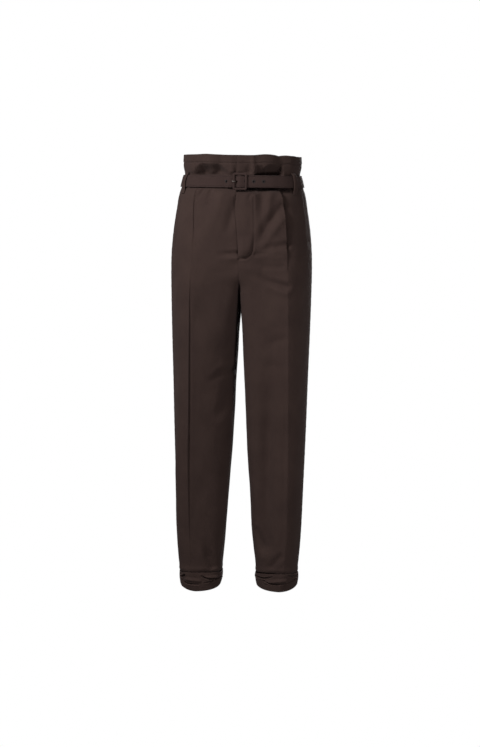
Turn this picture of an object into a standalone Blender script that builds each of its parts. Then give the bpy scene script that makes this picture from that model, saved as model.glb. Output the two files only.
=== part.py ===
"""Paperbag waist trousers, hollow and filled out, with turn-ups and a covered belt.

Metres, +Z up, the front towards -Y and the wearer's left towards +X. The origin is
the centre of the waist at the middle of the belt, where the trousers are held up.
"""

import math
from collections import namedtuple

import bmesh
import bpy
import numpy as np

# Cloth
CLOTH = 0.0014
TURNED_HEM = 0.0027
SEAM_GAP = 0.0003
HALF_GAP = SEAM_GAP / 2

# Belt. A level is a distance out from the cloth; a distance runs round the waist from
# the centre front towards the wearer's left.
BELT_HEIGHT = 0.028
BELT_THICK = 0.0030
BELT_GAP = 0.00035
BELT_STEP = 0.0075
BELT_START = 0.0034
BELT_RISE = (-0.036, -0.021)
BELT_PUFF = 0.0010
BELT_PUFF_REACH = 0.010
BELT_TIP_X = 0.131
HOLE_WIDTH = 0.0036
HOLES = (-0.0290, 0.0122, 0.0325, 0.0544)
PRONG_HOLE = -0.0064
PRONG_HOLE_LENGTH = 0.0052

# Buckle: a frame in front of the belt, with its middle bar behind it
BUCKLE_X = 0.0015
BUCKLE_WIDTH = 0.033
BUCKLE_HEIGHT = 0.039
BUCKLE_BAR = 0.0050
BUCKLE_THICK = 0.0030
BUCKLE_ROUND = 0.0007
BUCKLE_CORNER = 0.0045
WINDOW_CORNER = 0.0015
BRACKET_WIDTH = 0.0030
BRACKET_CLEAR = 0.0006
BRACKET_FLARE = 0.0022
PRONG_RADIUS = 0.0009
PRONG_STEPS = 13

# The prong leaves the middle bar behind the belt and ends on the frame.
Bend = namedtuple("Bend", "x level")
PRONG = (
    Bend(-0.0006, 0.0018),
    Bend(-0.0035, 0.0021),
    Bend(-0.0062, 0.0047),
    Bend(-0.0081, 0.0090),
    Bend(-0.0097, 0.0115),
    Bend(-0.0120, 0.0118),
    Bend(-0.0160, 0.0114),
)

# Belt loops: where each lies, how far its ends lean along the waist, and how many
# thicknesses of belt it holds.
Loop = namedtuple("Loop", "name face x lean_top lean_bottom layers")
LOOPS = (
    Loop("loop_front_left", "front", 0.1260, 0.0005, 0.0000, 2),
    Loop("loop_front_right", "front", -0.1265, 0.0050, 0.0020, 1),
    Loop("loop_back_left", "back", 0.0740, 0.0000, 0.0008, 1),
    Loop("loop_back_right", "back", -0.0760, -0.0006, 0.0004, 1),
    Loop("loop_back_middle", "back", 0.0, 0.0, 0.0005, 1),
)
LOOP_WIDTH = 0.0130
LOOP_THICK = 0.0012
LOOP_CLEAR = 0.0007
LOOP_SHOULDER = 0.0150
SHOULDER_LEAN = 0.6
LOOP_TOP = 0.0200
LOOP_BOTTOM = -0.0290

# Turn-ups: the heights of their upper and lower edges along each panel
CUFF_THICK = 0.0022
CUFF_LIP = 0.0022
CUFF_BULGE = 0.0005
Cuff = namedtuple("Cuff", "panel top_side top_crease top_inner low_side low_crease low_inner")
CUFFS = (
    Cuff("front_left", -0.9240, -0.9185, -0.9240, -0.9505, -0.9625, -0.9485),
    Cuff("front_right", -0.9245, -0.9190, -0.9240, -0.9520, -0.9650, -0.9525),
    Cuff("back_left", -0.9240, -0.9215, -0.9240, -0.9505, -0.9545, -0.9485),
    Cuff("back_right", -0.9245, -0.9220, -0.9240, -0.9520, -0.9560, -0.9525),
)
CUFF_POINT = 1.7
CUFF_CLEAR = -0.9165

# A row for each level section of one leg: half width at the side seam, the inner
# edge, how far the cloth stands to the front and back, where the front crease lies,
# how far the section has changed from half a torso to a leg, how square the torso is
# and how square the leg is on the inside of its front.
Section = namedtuple("Section", "height side inner front back crease leg torso inside")
SECTIONS = (
    Section(0.0635, 0.1367, 0.0000, 0.0945, 0.0960, 0.1040, 0.00, 2.4, 9.0),
    Section(0.0340, 0.1374, 0.0000, 0.0975, 0.0990, 0.1020, 0.00, 2.4, 9.0),
    Section(0.0152, 0.1343, 0.0000, 0.0995, 0.0995, 0.0975, 0.00, 2.4, 9.0),
    Section(-0.0152, 0.1420, 0.0000, 0.0995, 0.1020, 0.0985, 0.00, 2.4, 9.0),
    Section(-0.0265, 0.1458, 0.0000, 0.1040, 0.1090, 0.1000, 0.00, 2.5, 9.0),
    Section(-0.0665, 0.1528, 0.0000, 0.1110, 0.1250, 0.1045, 0.08, 2.7, 9.0),
    Section(-0.1175, 0.1600, 0.0000, 0.1160, 0.1400, 0.1085, 0.25, 2.9, 9.0),
    Section(-0.1665, 0.1640, 0.0000, 0.1180, 0.1480, 0.1115, 0.50, 3.0, 9.0),
    Section(-0.2115, 0.1650, 0.0000, 0.1175, 0.1440, 0.1135, 0.80, 3.0, 9.0),
    Section(-0.2585, 0.1645, 0.00015, 0.1150, 0.1310, 0.1145, 1.00, 3.0, 8.0),
    Section(-0.3435, 0.1625, 0.0054, 0.1080, 0.1130, 0.1150, 1.00, 3.0, 6.5),
    Section(-0.4575, 0.1590, 0.0112, 0.0985, 0.1000, 0.1150, 1.00, 3.0, 4.8),
    Section(-0.5715, 0.1560, 0.0158, 0.0880, 0.0890, 0.1145, 1.00, 3.0, 4.0),
    Section(-0.7055, 0.1515, 0.0242, 0.0775, 0.0780, 0.1140, 1.00, 3.0, 3.4),
    Section(-0.8595, 0.1450, 0.0355, 0.0645, 0.0650, 0.1110, 1.00, 3.0, 3.0),
    Section(-0.9265, 0.1392, 0.0420, 0.0590, 0.0600, 0.1060, 1.00, 3.0, 3.0),
    Section(-0.9625, 0.1372, 0.0455, 0.0560, 0.0570, 0.0985, 1.00, 3.0, 3.0),
)
BACK_INSIDE = 3.2
ROUNDNESS = {"front": 0.90, "back": 0.84}

# How far each front crease lies from the sections' one, towards the side seam.
Shift = namedtuple("Shift", "height front_left front_right")
CREASE_SHIFTS = (
    Shift(0.0635, 0.0, 0.0),
    Shift(-0.0152, 0.0, 0.0020),
    Shift(-0.0363, 0.0030, 0.0025),
    Shift(-0.0715, 0.0045, 0.0006),
    Shift(-0.1068, 0.0045, -0.0030),
    Shift(-0.1600, 0.0038, -0.0038),
    Shift(-0.2115, 0.0012, -0.0036),
    Shift(-0.3100, 0.0000, -0.0030),
    Shift(-0.5000, 0.0012, -0.0016),
    Shift(-0.6300, 0.0026, 0.0006),
    Shift(-0.7900, 0.0020, 0.0),
    Shift(-0.8900, 0.0012, 0.0),
    Shift(-0.9265, 0.0, 0.0),
    Shift(-0.9650, 0.0, 0.0),
)

# The crotch: the legs part at its height, and the seam above it rises as a U.
CROTCH = -0.2585
CROTCH_RISE = 0.0603
CROTCH_POWER = 3.6

# How far the centre front seam runs to the wearer's right, where the fly laps over.
Lap = namedtuple("Lap", "height shift")
LAPS = (
    Lap(0.0635, 0.0060),
    Lap(-0.0165, 0.0055),
    Lap(-0.0575, 0.0084),
    Lap(-0.1065, 0.0050),
    Lap(-0.1565, 0.0014),
    Lap(-0.2085, 0.0),
    Lap(-0.9625, 0.0),
)

# The height of the header's top edge across each panel.
Edge = namedtuple("Edge", "x front_left front_right back_left back_right")
TOP_EDGE = (
    Edge(0.000, 0.0602, 0.0602, 0.0610, 0.0610),
    Edge(0.031, 0.0601, 0.0603, 0.0625, 0.0595),
    Edge(0.062, 0.0622, 0.0615, 0.0597, 0.0620),
    Edge(0.078, 0.0610, 0.0623, 0.0605, 0.0627),
    Edge(0.099, 0.0571, 0.0613, 0.0620, 0.0603),
    Edge(0.118, 0.0591, 0.0610, 0.0595, 0.0607),
    Edge(0.139, 0.0547, 0.0607, 0.0575, 0.0607),
)

# Soft ridges (depth over 0) and troughs on the panels, each along a straight line.
# x runs from the centre towards the side on both halves.
Fold = namedtuple("Fold", "panel x0 z0 depth0 x1 z1 depth1 width")
FOLDS = (
    # Left front, under the belt and at the hip
    Fold("front_left", 0.047, -0.0205, -0.0030, 0.053, -0.0815, -0.0010, 0.012),
    Fold("front_left", 0.075, -0.0205, 0.0030, 0.048, -0.0965, 0.0010, 0.013),
    Fold("front_left", 0.097, -0.0685, -0.0042, 0.046, -0.1345, -0.0030, 0.010),
    Fold("front_left", 0.085, -0.1045, 0.0026, 0.060, -0.1315, 0.0020, 0.012),
    Fold("front_left", 0.042, -0.1595, -0.0030, 0.108, -0.1485, -0.0034, 0.009),
    Fold("front_left", 0.057, -0.1945, -0.0014, 0.100, -0.1945, -0.0016, 0.007),
    Fold("front_left", 0.050, -0.2225, -0.0018, 0.110, -0.2395, -0.0038, 0.009),
    Fold("front_left", 0.080, -0.3635, -0.0014, 0.104, -0.3895, -0.0012, 0.009),
    Fold("front_left", 0.063, -0.4665, -0.0012, 0.056, -0.6365, -0.0022, 0.012),
    Fold("front_left", 0.045, -0.8165, -0.0020, 0.056, -0.8485, -0.0026, 0.008),
    Fold("front_left", 0.080, -0.9015, -0.0018, 0.102, -0.8765, -0.0020, 0.009),
    # Right front
    Fold("front_right", 0.086, -0.0165, -0.0030, 0.101, -0.0365, -0.0020, 0.006),
    Fold("front_right", 0.012, -0.0665, -0.0040, 0.030, -0.0965, -0.0026, 0.010),
    Fold("front_right", 0.050, -0.0465, 0.0024, 0.066, -0.0915, 0.0010, 0.018),
    Fold("front_right", 0.004, -0.1645, -0.0028, 0.042, -0.1655, -0.0014, 0.007),
    Fold("front_right", 0.016, -0.2015, -0.0020, 0.048, -0.2165, -0.0008, 0.014),
    Fold("front_right", 0.030, -0.4365, -0.0026, 0.050, -0.4585, -0.0012, 0.012),
    Fold("front_right", 0.028, -0.4965, -0.0034, 0.051, -0.5265, -0.0010, 0.014),
    Fold("front_right", 0.084, -0.8575, -0.0014, 0.064, -0.9185, -0.0032, 0.011),
    # Left back
    Fold("back_left", 0.035, -0.0205, -0.0028, 0.045, -0.0865, -0.0008, 0.012),
    Fold("back_left", 0.105, -0.0245, -0.0024, 0.098, -0.0765, -0.0008, 0.011),
    Fold("back_left", 0.020, -0.2115, -0.0030, 0.085, -0.2585, -0.0022, 0.013),
    Fold("back_left", 0.045, -0.2585, -0.0022, 0.115, -0.2965, -0.0014, 0.013),
    Fold("back_left", 0.040, -0.5015, -0.0030, 0.105, -0.5415, -0.0014, 0.014),
    Fold("back_left", 0.120, -0.4665, -0.0018, 0.070, -0.4965, -0.0020, 0.012),
    Fold("back_left", 0.060, -0.8515, -0.0016, 0.090, -0.9015, -0.0026, 0.011),
    # Right back
    Fold("back_right", 0.042, -0.0205, -0.0024, 0.036, -0.0815, -0.0010, 0.011),
    Fold("back_right", 0.098, -0.0225, -0.0028, 0.106, -0.0745, -0.0008, 0.012),
    Fold("back_right", 0.026, -0.2185, -0.0026, 0.092, -0.2525, -0.0026, 0.012),
    Fold("back_right", 0.052, -0.2715, -0.0020, 0.108, -0.2905, -0.0012, 0.012),
    Fold("back_right", 0.110, -0.4885, -0.0024, 0.050, -0.5245, -0.0028, 0.014),
    Fold("back_right", 0.085, -0.5565, -0.0016, 0.118, -0.5865, -0.0012, 0.012),
    Fold("back_right", 0.095, -0.8615, -0.0018, 0.070, -0.9085, -0.0024, 0.011),
)

# Upright ridges and troughs of the gathered header, from the belt to the top edge.
Gather = namedtuple("Gather", "panel x foot top width")
GATHERS = (
    Gather("front_left", 0.008, -0.0010, -0.0014, 0.010),
    Gather("front_left", 0.030, 0.0024, 0.0012, 0.006),
    Gather("front_left", 0.062, 0.0000, 0.0024, 0.016),
    Gather("front_left", 0.094, -0.0006, -0.0034, 0.010),
    Gather("front_left", 0.118, 0.0010, 0.0026, 0.010),
    Gather("front_right", 0.020, 0.0022, 0.0014, 0.008),
    Gather("front_right", 0.042, 0.0000, -0.0034, 0.010),
    Gather("front_right", 0.074, 0.0034, 0.0022, 0.008),
    Gather("front_right", 0.108, 0.0018, 0.0010, 0.008),
    Gather("back_left", 0.018, 0.0024, 0.0030, 0.010),
    Gather("back_left", 0.040, -0.0044, -0.0030, 0.010),
    Gather("back_left", 0.066, 0.0026, 0.0030, 0.011),
    Gather("back_left", 0.092, -0.0046, -0.0028, 0.010),
    Gather("back_left", 0.116, 0.0022, 0.0024, 0.009),
    Gather("back_right", 0.014, 0.0020, 0.0028, 0.009),
    Gather("back_right", 0.036, -0.0048, -0.0026, 0.011),
    Gather("back_right", 0.062, 0.0028, 0.0032, 0.010),
    Gather("back_right", 0.088, -0.0040, -0.0032, 0.011),
    Gather("back_right", 0.114, 0.0024, 0.0020, 0.010),
)

# Arched hollows between the belt and the header's stitched top.
Hollow = namedtuple("Hollow", "panel x0 x1 top depth")
HOLLOWS = (
    Hollow("front_left", 0.033, 0.103, 0.0455, 0.0120),
    Hollow("front_right", 0.026, 0.104, 0.0450, 0.0120),
)

# Knife folds at the creases: the cloth on one side stands proud of the other. Below
# the belt the side towards the centre is proud, and above it the side seam's side.
Pleat = namedtuple("Pleat", "panel root end inner outer")
PLEATS = (
    Pleat("front_left", -0.0152, -0.215, 0.0046, -0.0030),
    Pleat("front_right", -0.0152, -0.205, 0.0034, -0.0024),
    Pleat("front_left", 0.0152, 0.048, 0.0000, 0.0030),
    Pleat("front_right", 0.0152, 0.048, 0.0000, 0.0030),
    Pleat("back_left", -0.0152, -0.130, 0.0026, -0.0018),
    Pleat("back_right", -0.0152, -0.130, 0.0026, -0.0018),
)
PLEAT_FADE = 0.4
PLEAT_REACH_IN = 0.020
PLEAT_REACH_OUT = 0.014
RISER = 0.0007

# The belt presses the cloth smooth this far above and below its middle, and folds grow
# away from it. Behind its upper edge, the hollows start a little lower.
PRESSED_HEIGHT = 0.0152
HOLLOW_FOOT = 0.0105
FOLD_START = 0.008

# Folds fade out over this distance from the side seams.
SIDE_CLEAR = 0.010

# The header's level top, before its edge waves, and the foot of its turned hem.
HEADER_TOP = 0.0635
STITCH_HEIGHT = 0.0435

# The plan's slope is measured over this much of x to each side.
SLOPE_STEP = 0.0040

# Grids of the panels: heights, and the parts of a row's width on each side of the
# crease. The coarse rows skip every other column.
FINE_HEIGHTS = (
    0.0635, 0.0535, 0.0445, 0.0375, 0.0300, 0.0225, 0.0152, 0.0105, -0.0152, -0.0210, -0.0310, -0.0450,
)
COARSE_HEIGHTS = (
    -0.0615, -0.0815, -0.1035, -0.1265, -0.1500, -0.1740, -0.1970, -0.2135, -0.2265, -0.2365, -0.2465,
    -0.2585, -0.2800, -0.3150, -0.3650, -0.4200, -0.4750, -0.5300, -0.5850, -0.6550, -0.7350, -0.8150,
    -0.8750, -0.9220, -0.9545,
)
OUTER_STEPS = 8
INNER_STEPS = 16

# Edges that turn by more than this are shaded as corners.
SHARP_ANGLE = math.radians(50)

PANELS = ("front_left", "front_right", "back_left", "back_right")

WOOL = ((0.052, 0.034, 0.028), 0.92, 0.0)
COVERED = ((0.055, 0.036, 0.030), 0.88, 0.0)
DARK_METAL = ((0.14, 0.12, 0.11), 0.35, 1.0)


def clear_scene():
    for obj in list(bpy.data.objects):
        bpy.data.objects.remove(obj, do_unlink=True)


def material(name, look):
    colour, roughness, metallic = look
    made = bpy.data.materials.new(name)
    made.use_nodes = True
    shader = made.node_tree.nodes["Principled BSDF"]
    shader.inputs["Base Color"].default_value = (*colour, 1.0)
    shader.inputs["Roughness"].default_value = roughness
    shader.inputs["Metallic"].default_value = metallic
    made.diffuse_color = (*colour, 1.0)
    return made


def add_object(name, mesh, look, collection):
    mesh.materials.append(material(name, look))
    obj = bpy.data.objects.new(name, mesh)
    collection.objects.link(obj)
    return obj


def mesh_from(name, bm, smooth=True):
    """Makes a mesh of a closed bmesh, with its faces turned outwards."""
    bmesh.ops.recalc_face_normals(bm, faces=bm.faces)
    mesh = bpy.data.meshes.new(name)
    bm.to_mesh(mesh)
    bm.free()
    if smooth:
        mesh.shade_smooth()
        mesh.set_sharp_from_angle(angle=SHARP_ANGLE)
    return mesh


def eased(value):
    """0 to 1 with no corner at either end."""
    value = np.clip(value, 0.0, 1.0)
    return value * value * (3.0 - 2.0 * value)


def along(table, key, column, at):
    """Reads one column of a table at any place, on a smooth curve through its rows."""
    rows = sorted(table, key=lambda row: getattr(row, key))
    places = np.array([getattr(row, key) for row in rows])
    values = np.array([getattr(row, column) for row in rows])
    slopes = np.gradient(values, places)
    at = np.clip(at, places[0], places[-1])
    low = np.clip(np.searchsorted(places, at) - 1, 0, len(places) - 2)
    span = places[low + 1] - places[low]
    t = (at - places[low]) / span
    rise = values[low + 1] - values[low]
    bend0 = slopes[low] * span - rise
    bend1 = rise - slopes[low + 1] * span
    return values[low] + t * rise + t * (1.0 - t) * ((1.0 - t) * bend0 + t * bend1)


def section(column, z):
    return along(SECTIONS, "height", column, z)


def inner_edge(z):
    """The section's inner edge: past the centre above the crotch, so the seam clips it."""
    above = np.clip((z - CROTCH) / CROTCH_RISE, 0.0, 1.0) ** CROTCH_POWER
    return np.where(z > CROTCH, HALF_GAP - section("side", z) * above, section("inner", z))


def crease_x(panel, z):
    """The back crease lies as far in from the leg's middle as the front one lies out."""
    front = section("crease", z)
    if panel.startswith("front"):
        return front + along(CREASE_SHIFTS, "height", panel, z)
    middle = (section("side", z) + np.maximum(inner_edge(z), 0.0)) / 2
    return 2 * middle - front


def seam_x(panel, z):
    """Where a panel ends at the centre seam, measured towards its own side."""
    if panel.startswith("back"):
        return HALF_GAP + 0.0 * z
    shift = along(LAPS, "height", "shift", z)
    return HALF_GAP + (shift if panel == "front_right" else -shift)


def plan_depth(panel, x, z):
    """How far the cloth stands from the side seams' plane at x."""
    face = panel.split("_")[0]
    side = section("side", z)
    crease = crease_x(panel, z)
    power = section("torso", z)
    torso = (1.0 - np.clip(np.abs(x) / side, 0.0, 1.0) ** power) ** (1.0 / power)
    out = np.clip((x - crease) / (side - crease), 0.0, 1.0)
    inwards = np.clip((crease - x) / (crease - inner_edge(z)), 0.0, 1.0)
    power = section("inside", z) if face == "front" else BACK_INSIDE
    rounded = np.where(
        x > crease, np.sqrt(1.0 - out**2), (1.0 - inwards**power) ** (1.0 / power)
    )
    flat = 1.0 - np.maximum(out, inwards)
    leg = ROUNDNESS[face] * rounded + (1.0 - ROUNDNESS[face]) * flat
    share = section("leg", z)
    return section(face, z) * ((1.0 - share) * torso + share * leg)


def plan_normal(panel, x, z):
    """The level direction out of the cloth at x."""
    rise = plan_depth(panel, x + SLOPE_STEP, z) - plan_depth(panel, x - SLOPE_STEP, z)
    slope = rise / (2 * SLOPE_STEP)
    out = -np.ones_like(slope) if panel.startswith("front") else np.ones_like(slope)
    normal = np.stack([-slope, out, np.zeros_like(slope)], axis=-1)
    return normal / np.linalg.norm(normal, axis=-1, keepdims=True)


def fold_field(panel, x, z):
    total = np.zeros_like(x)
    for fold in FOLDS:
        if fold.panel != panel:
            continue
        run_x = fold.x1 - fold.x0
        run_z = fold.z1 - fold.z0
        t = ((x - fold.x0) * run_x + (z - fold.z0) * run_z) / (run_x**2 + run_z**2)
        t = np.clip(t, 0.0, 1.0)
        away = np.hypot(x - fold.x0 - t * run_x, z - fold.z0 - t * run_z)
        depth = fold.depth0 + t * (fold.depth1 - fold.depth0)
        total += depth * np.exp(-((away / fold.width) ** 2))
    total *= eased((np.abs(z) - PRESSED_HEIGHT) / FOLD_START)
    return total * eased((z - CUFF_CLEAR) / FOLD_START)


def gather_field(panel, x, z):
    total = np.zeros_like(x)
    height = np.clip((z - PRESSED_HEIGHT) / (HEADER_TOP - PRESSED_HEIGHT), 0.0, 1.0)
    for gather in GATHERS:
        if gather.panel == panel:
            size = gather.foot + height * (gather.top - gather.foot)
            total += size * np.exp(-(((x - gather.x) / gather.width) ** 2))
    return total * eased((z - PRESSED_HEIGHT) / FOLD_START)


def hollow_field(panel, x, z):
    """The cloth leans in from each arch down to the belt, behind whose edge it comes back."""
    total = np.zeros_like(x)
    for hollow in HOLLOWS:
        if hollow.panel != panel:
            continue
        half = (hollow.x1 - hollow.x0) / 2
        across = np.clip(np.abs(x - hollow.x0 - half) / half, 0.0, 1.0)
        height = (z - PRESSED_HEIGHT) / (hollow.top - PRESSED_HEIGHT)
        total -= hollow.depth * np.clip(np.sqrt(1.0 - across**2) - np.maximum(height, 0.0), 0.0, 1.0)
    return total * eased((z - HOLLOW_FOOT) / (PRESSED_HEIGHT - HOLLOW_FOOT))


def pleat_field(panel, x, z):
    total = np.zeros_like(x)
    crease = crease_x(panel, z)
    for pleat in PLEATS:
        if pleat.panel != panel:
            continue
        deep = eased(np.abs(z - pleat.root) / FOLD_START)
        share = (z - pleat.root) / (pleat.end - pleat.root)
        fade = 1.0 - eased((share - PLEAT_FADE) / (1.0 - PLEAT_FADE))
        within = (z - pleat.root) * (pleat.end - z) >= 0.0
        inner = pleat.inner * np.exp(-(crease - x) / PLEAT_REACH_IN)
        outer = pleat.outer * np.exp(-(x - crease) / PLEAT_REACH_OUT)
        total += np.where(x < crease, inner, outer) * deep * fade * within
    return total


def cloth(panel, x, z):
    """Points on the outside of a panel, in its own half: x grows towards the side seam."""
    depth = plan_depth(panel, x, z)
    points = np.stack([x, -depth if panel.startswith("front") else depth, z], axis=-1)
    lift = fold_field(panel, x, z) + gather_field(panel, x, z)
    lift += hollow_field(panel, x, z) + pleat_field(panel, x, z)
    lift *= eased((section("side", z) - x) / SIDE_CLEAR)
    points += plan_normal(panel, x, z) * lift[..., None]
    top = along(TOP_EDGE, "x", panel, np.clip(x, 0.0, TOP_EDGE[-1].x))
    points[..., 2] += (top - HEADER_TOP) * eased((z - PRESSED_HEIGHT) / (HEADER_TOP - PRESSED_HEIGHT))
    return points


def columns(outer_steps, inner_steps):
    """Places across a panel: 0 at the side seam, 1 on both sides of the crease, 2 at its end."""
    outer = np.linspace(0.0, 1.0, outer_steps + 1)
    return np.concatenate([outer, np.linspace(1.0 + 1e-9, 2.0, inner_steps + 1)])


def column_x(panel, place, z):
    crease = crease_x(panel, z)
    inner = inner_edge(z)
    end = np.maximum(inner, seam_x(panel, z))
    outer_x = crease + RISER + (section("side", z) - crease - RISER) * np.cos(math.pi / 2 * place)
    span = crease - RISER - inner
    reach = np.arcsin(np.clip((crease - RISER - end) / span, 0.0, 1.0))
    inner_x = crease - RISER - span * np.sin(reach * (place - 1.0))
    return np.where(place <= 1.0, outer_x, np.maximum(inner_x, end))


def cuff_edge(panel, edge, place):
    """The height of the turn-up's upper (top) or lower (low) edge at a place along a panel."""
    row = next(row for row in CUFFS if row.panel == panel)
    side, crease, inner = (getattr(row, f"{edge}_{at}") for at in ("side", "crease", "inner"))
    end = np.where(place < 1.0, side, inner)
    return end + (crease - end) * (1.0 - np.abs(place - 1.0) ** CUFF_POINT)


def unit(vectors):
    return vectors / np.maximum(np.linalg.norm(vectors, axis=-1, keepdims=True), 1e-12)


def grid_normals(points, face):
    """Normals that point out of the cloth, which weigh the steps on both sides alike."""
    across = np.zeros_like(points)
    steps = unit(np.diff(points, axis=1))
    across[:, :-1] += steps
    across[:, 1:] += steps
    down = np.zeros_like(points)
    steps = unit(np.diff(points, axis=0))
    down[:-1] += steps
    down[1:] += steps
    normals = unit(np.cross(across, down))
    return normals if face == "front" else -normals


def panel_walls(panel, heights, places):
    """The outer and inner points of a panel, a row for each height."""
    face = panel.split("_")[0]
    place = np.broadcast_to(places, (len(heights), len(places)))
    z = np.repeat(np.array(heights)[:, None], len(places), axis=1)
    z[-1] = cuff_edge(panel, "low", places) + CUFF_LIP + SEAM_GAP
    x = column_x(panel, place, z)
    outer = cloth(panel, x, z)
    normals = grid_normals(outer, face)
    # Where the crease has no step, its two columns move inwards side by side.
    crease = [OUTER_STEPS, OUTER_STEPS + 1]
    shared = unit(normals[:, crease].sum(axis=1))
    step = np.abs(np.sum((outer[:, crease[1]] - outer[:, crease[0]]) * shared, axis=-1))
    normals[:, crease] = np.where(
        step[:, None, None] < RISER, shared[:, None], normals[:, crease]
    )
    normals[:, 0, 1] = 0.0
    normals[z[:, -1] <= CROTCH + 1e-6, -1, 1] = 0.0
    wall = np.where(z > STITCH_HEIGHT, TURNED_HEM, CLOTH)
    inner = outer - unit(normals) * wall[..., None]
    outwards = -1.0 if face == "front" else 1.0
    for points in (outer, inner):
        points[..., 0] = np.maximum(points[..., 0], seam_x(panel, points[..., 2]))
        points[..., 1] = outwards * np.maximum(outwards * points[..., 1], HALF_GAP)
    return outer, inner


def sheet_faces(bm, rows):
    """Joins rows of vertices, each a dictionary from column to vertex, with triangles."""
    for upper, lower in zip(rows, rows[1:]):
        shared = sorted(lower)
        for left, right in zip(shared, shared[1:]):
            chain = [column for column in sorted(upper) if left <= column <= right]
            middle = chain[len(chain) // 2]
            for a, b in zip(chain, chain[1:]):
                foot = left if b <= middle else right
                bm.faces.new((upper[a], lower[foot], upper[b]))
            bm.faces.new((upper[middle], lower[left], lower[right]))


def rim_faces(bm, outer, inner):
    """Closes the gap between two chains of vertices."""
    for a, b, c, d in zip(outer, outer[1:], inner[1:], inner):
        bm.faces.new((a, b, c))
        bm.faces.new((a, c, d))


def add_panel(panel, collection):
    mirror = 1.0 if panel.endswith("left") else -1.0
    places = columns(OUTER_STEPS, INNER_STEPS)
    fine = range(len(places))
    coarse = [*range(0, OUTER_STEPS + 1, 2), *range(OUTER_STEPS + 1, len(places), 2)]
    bm = bmesh.new()
    layers = []
    for points in panel_walls(panel, FINE_HEIGHTS + COARSE_HEIGHTS, places):
        rows = []
        for index, row in enumerate(points):
            used = fine if index < len(FINE_HEIGHTS) else coarse
            rows.append({k: bm.verts.new((mirror * row[k][0], *row[k][1:])) for k in used})
        sheet_faces(bm, rows)
        layers.append(rows)
    outside, inside = layers
    for row in (0, -1):
        rim_faces(bm, list(outside[row].values()), list(inside[row].values()))
    for column in (0, len(places) - 1):
        rim_faces(bm, [row[column] for row in outside], [row[column] for row in inside])
    add_object(panel, mesh_from(panel, bm), WOOL, collection)


def tube_faces(bm, rings, closed):
    """Joins rings of vertices along a tube, which ends in flat caps unless it is closed."""
    ahead_of = rings[1:] + rings[:1] if closed else rings[1:]
    for ring, ahead in zip(rings, ahead_of):
        for a, b, c, d in zip(ring, ring[1:] + ring[:1], ahead[1:] + ahead[:1], ahead):
            bm.faces.new((a, b, c))
            bm.faces.new((a, c, d))
    if not closed:
        bm.faces.new(rings[0])
        bm.faces.new(rings[-1])


def tube_mesh(name, rings, closed=False, smooth=True):
    bm = bmesh.new()
    tube_faces(bm, [[bm.verts.new(corner) for corner in ring] for ring in rings], closed)
    return mesh_from(name, bm, smooth)


def add_cuff(half, collection):
    """The turn-up: a ring round the hem whose lip closes it below the leg's edge."""
    mirror = 1.0 if half == "left" else -1.0
    places = columns(OUTER_STEPS, INNER_STEPS)
    lip = -CLOTH
    inside = SEAM_GAP
    outside = SEAM_GAP + CUFF_THICK
    # Each corner of the section: its share of the way down, its height over that and its level.
    corners = (
        (0.0, 0.0, outside), (0.5, 0.0, outside + CUFF_BULGE), (1.0, CUFF_LIP, outside),
        (1.0, 0.0, outside - CUFF_LIP), (1.0, 0.0, lip), (1.0, CUFF_LIP, lip),
        (1.0, CUFF_LIP, inside), (0.5, 0.0, inside), (0.0, 0.0, inside),
    )
    rings = []
    for face, order in (("front", slice(None)), ("back", slice(None, None, -1))):
        panel = f"{face}_{half}"
        profile = []
        for down, over, level in corners:
            top = cuff_edge(panel, "top", places)
            z = top + down * (cuff_edge(panel, "low", places) - top) + over
            x = column_x(panel, places, z)
            normal = plan_normal(panel, x, z)
            normal[0, 1] = 0.0
            normal[-1, 1] = 0.0
            profile.append(cloth(panel, x, z) + unit(normal) * level)
        ring = np.stack(profile, axis=1)[order]
        rings.extend(ring if face == "front" else ring[1:-1])
    mirrored = [ring * np.array([mirror, 1.0, 1.0]) for ring in rings]
    name = f"cuff_{half}"
    add_object(name, tube_mesh(name, mirrored, closed=True), WOOL, collection)


def waist_line(z=0.0, samples=720):
    """The cloth's points under the belt at one height, all the way round from the centre front."""
    turn = np.linspace(0.0, 2 * math.pi, samples + 1)
    share = (z + PRESSED_HEIGHT) / (2 * PRESSED_HEIGHT)
    sizes = {}
    for name in ("side", "front", "back"):
        low, high = section(name, -PRESSED_HEIGHT), section(name, PRESSED_HEIGHT)
        sizes[name] = low + share * (high - low)
    depth = np.where(np.cos(turn) > 0, sizes["front"], sizes["back"])
    power = 2.0 / section("torso", -PRESSED_HEIGHT)
    x = np.sign(np.sin(turn)) * np.abs(np.sin(turn)) ** power
    y = -np.sign(np.cos(turn)) * np.abs(np.cos(turn)) ** power
    return np.stack([sizes["side"] * x, depth * y, np.full_like(turn, z)], axis=-1)


def waist_distances():
    steps = np.linalg.norm(np.diff(waist_line(), axis=0), axis=1)
    return np.concatenate([[0.0], np.cumsum(steps)])


def waist_at(distance, z=0.0):
    """The point on the cloth under the belt at a height, and the level direction out of it."""
    distances = waist_distances()
    distance = distance % distances[-1]
    points = waist_line(z)
    point = np.array([np.interp(distance, distances, points[:, axis]) for axis in range(3)])
    ahead = np.gradient(waist_line(), axis=0)
    tangent = unit(np.array([np.interp(distance, distances, ahead[:, axis]) for axis in range(3)]))
    return point, np.array([tangent[1], -tangent[0], 0.0])


def waist_distance(face, x):
    points = waist_line()
    front = points[:, 1] < 0
    near = front if face == "front" else ~front
    return waist_distances()[near][np.argmin(np.abs(points[near, 0] - x))]


def around():
    return waist_distances()[-1]


def free_level():
    """The level of the belt's inner side where it lies over its own fixed end."""
    return 2 * BELT_GAP + BELT_THICK


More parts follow.
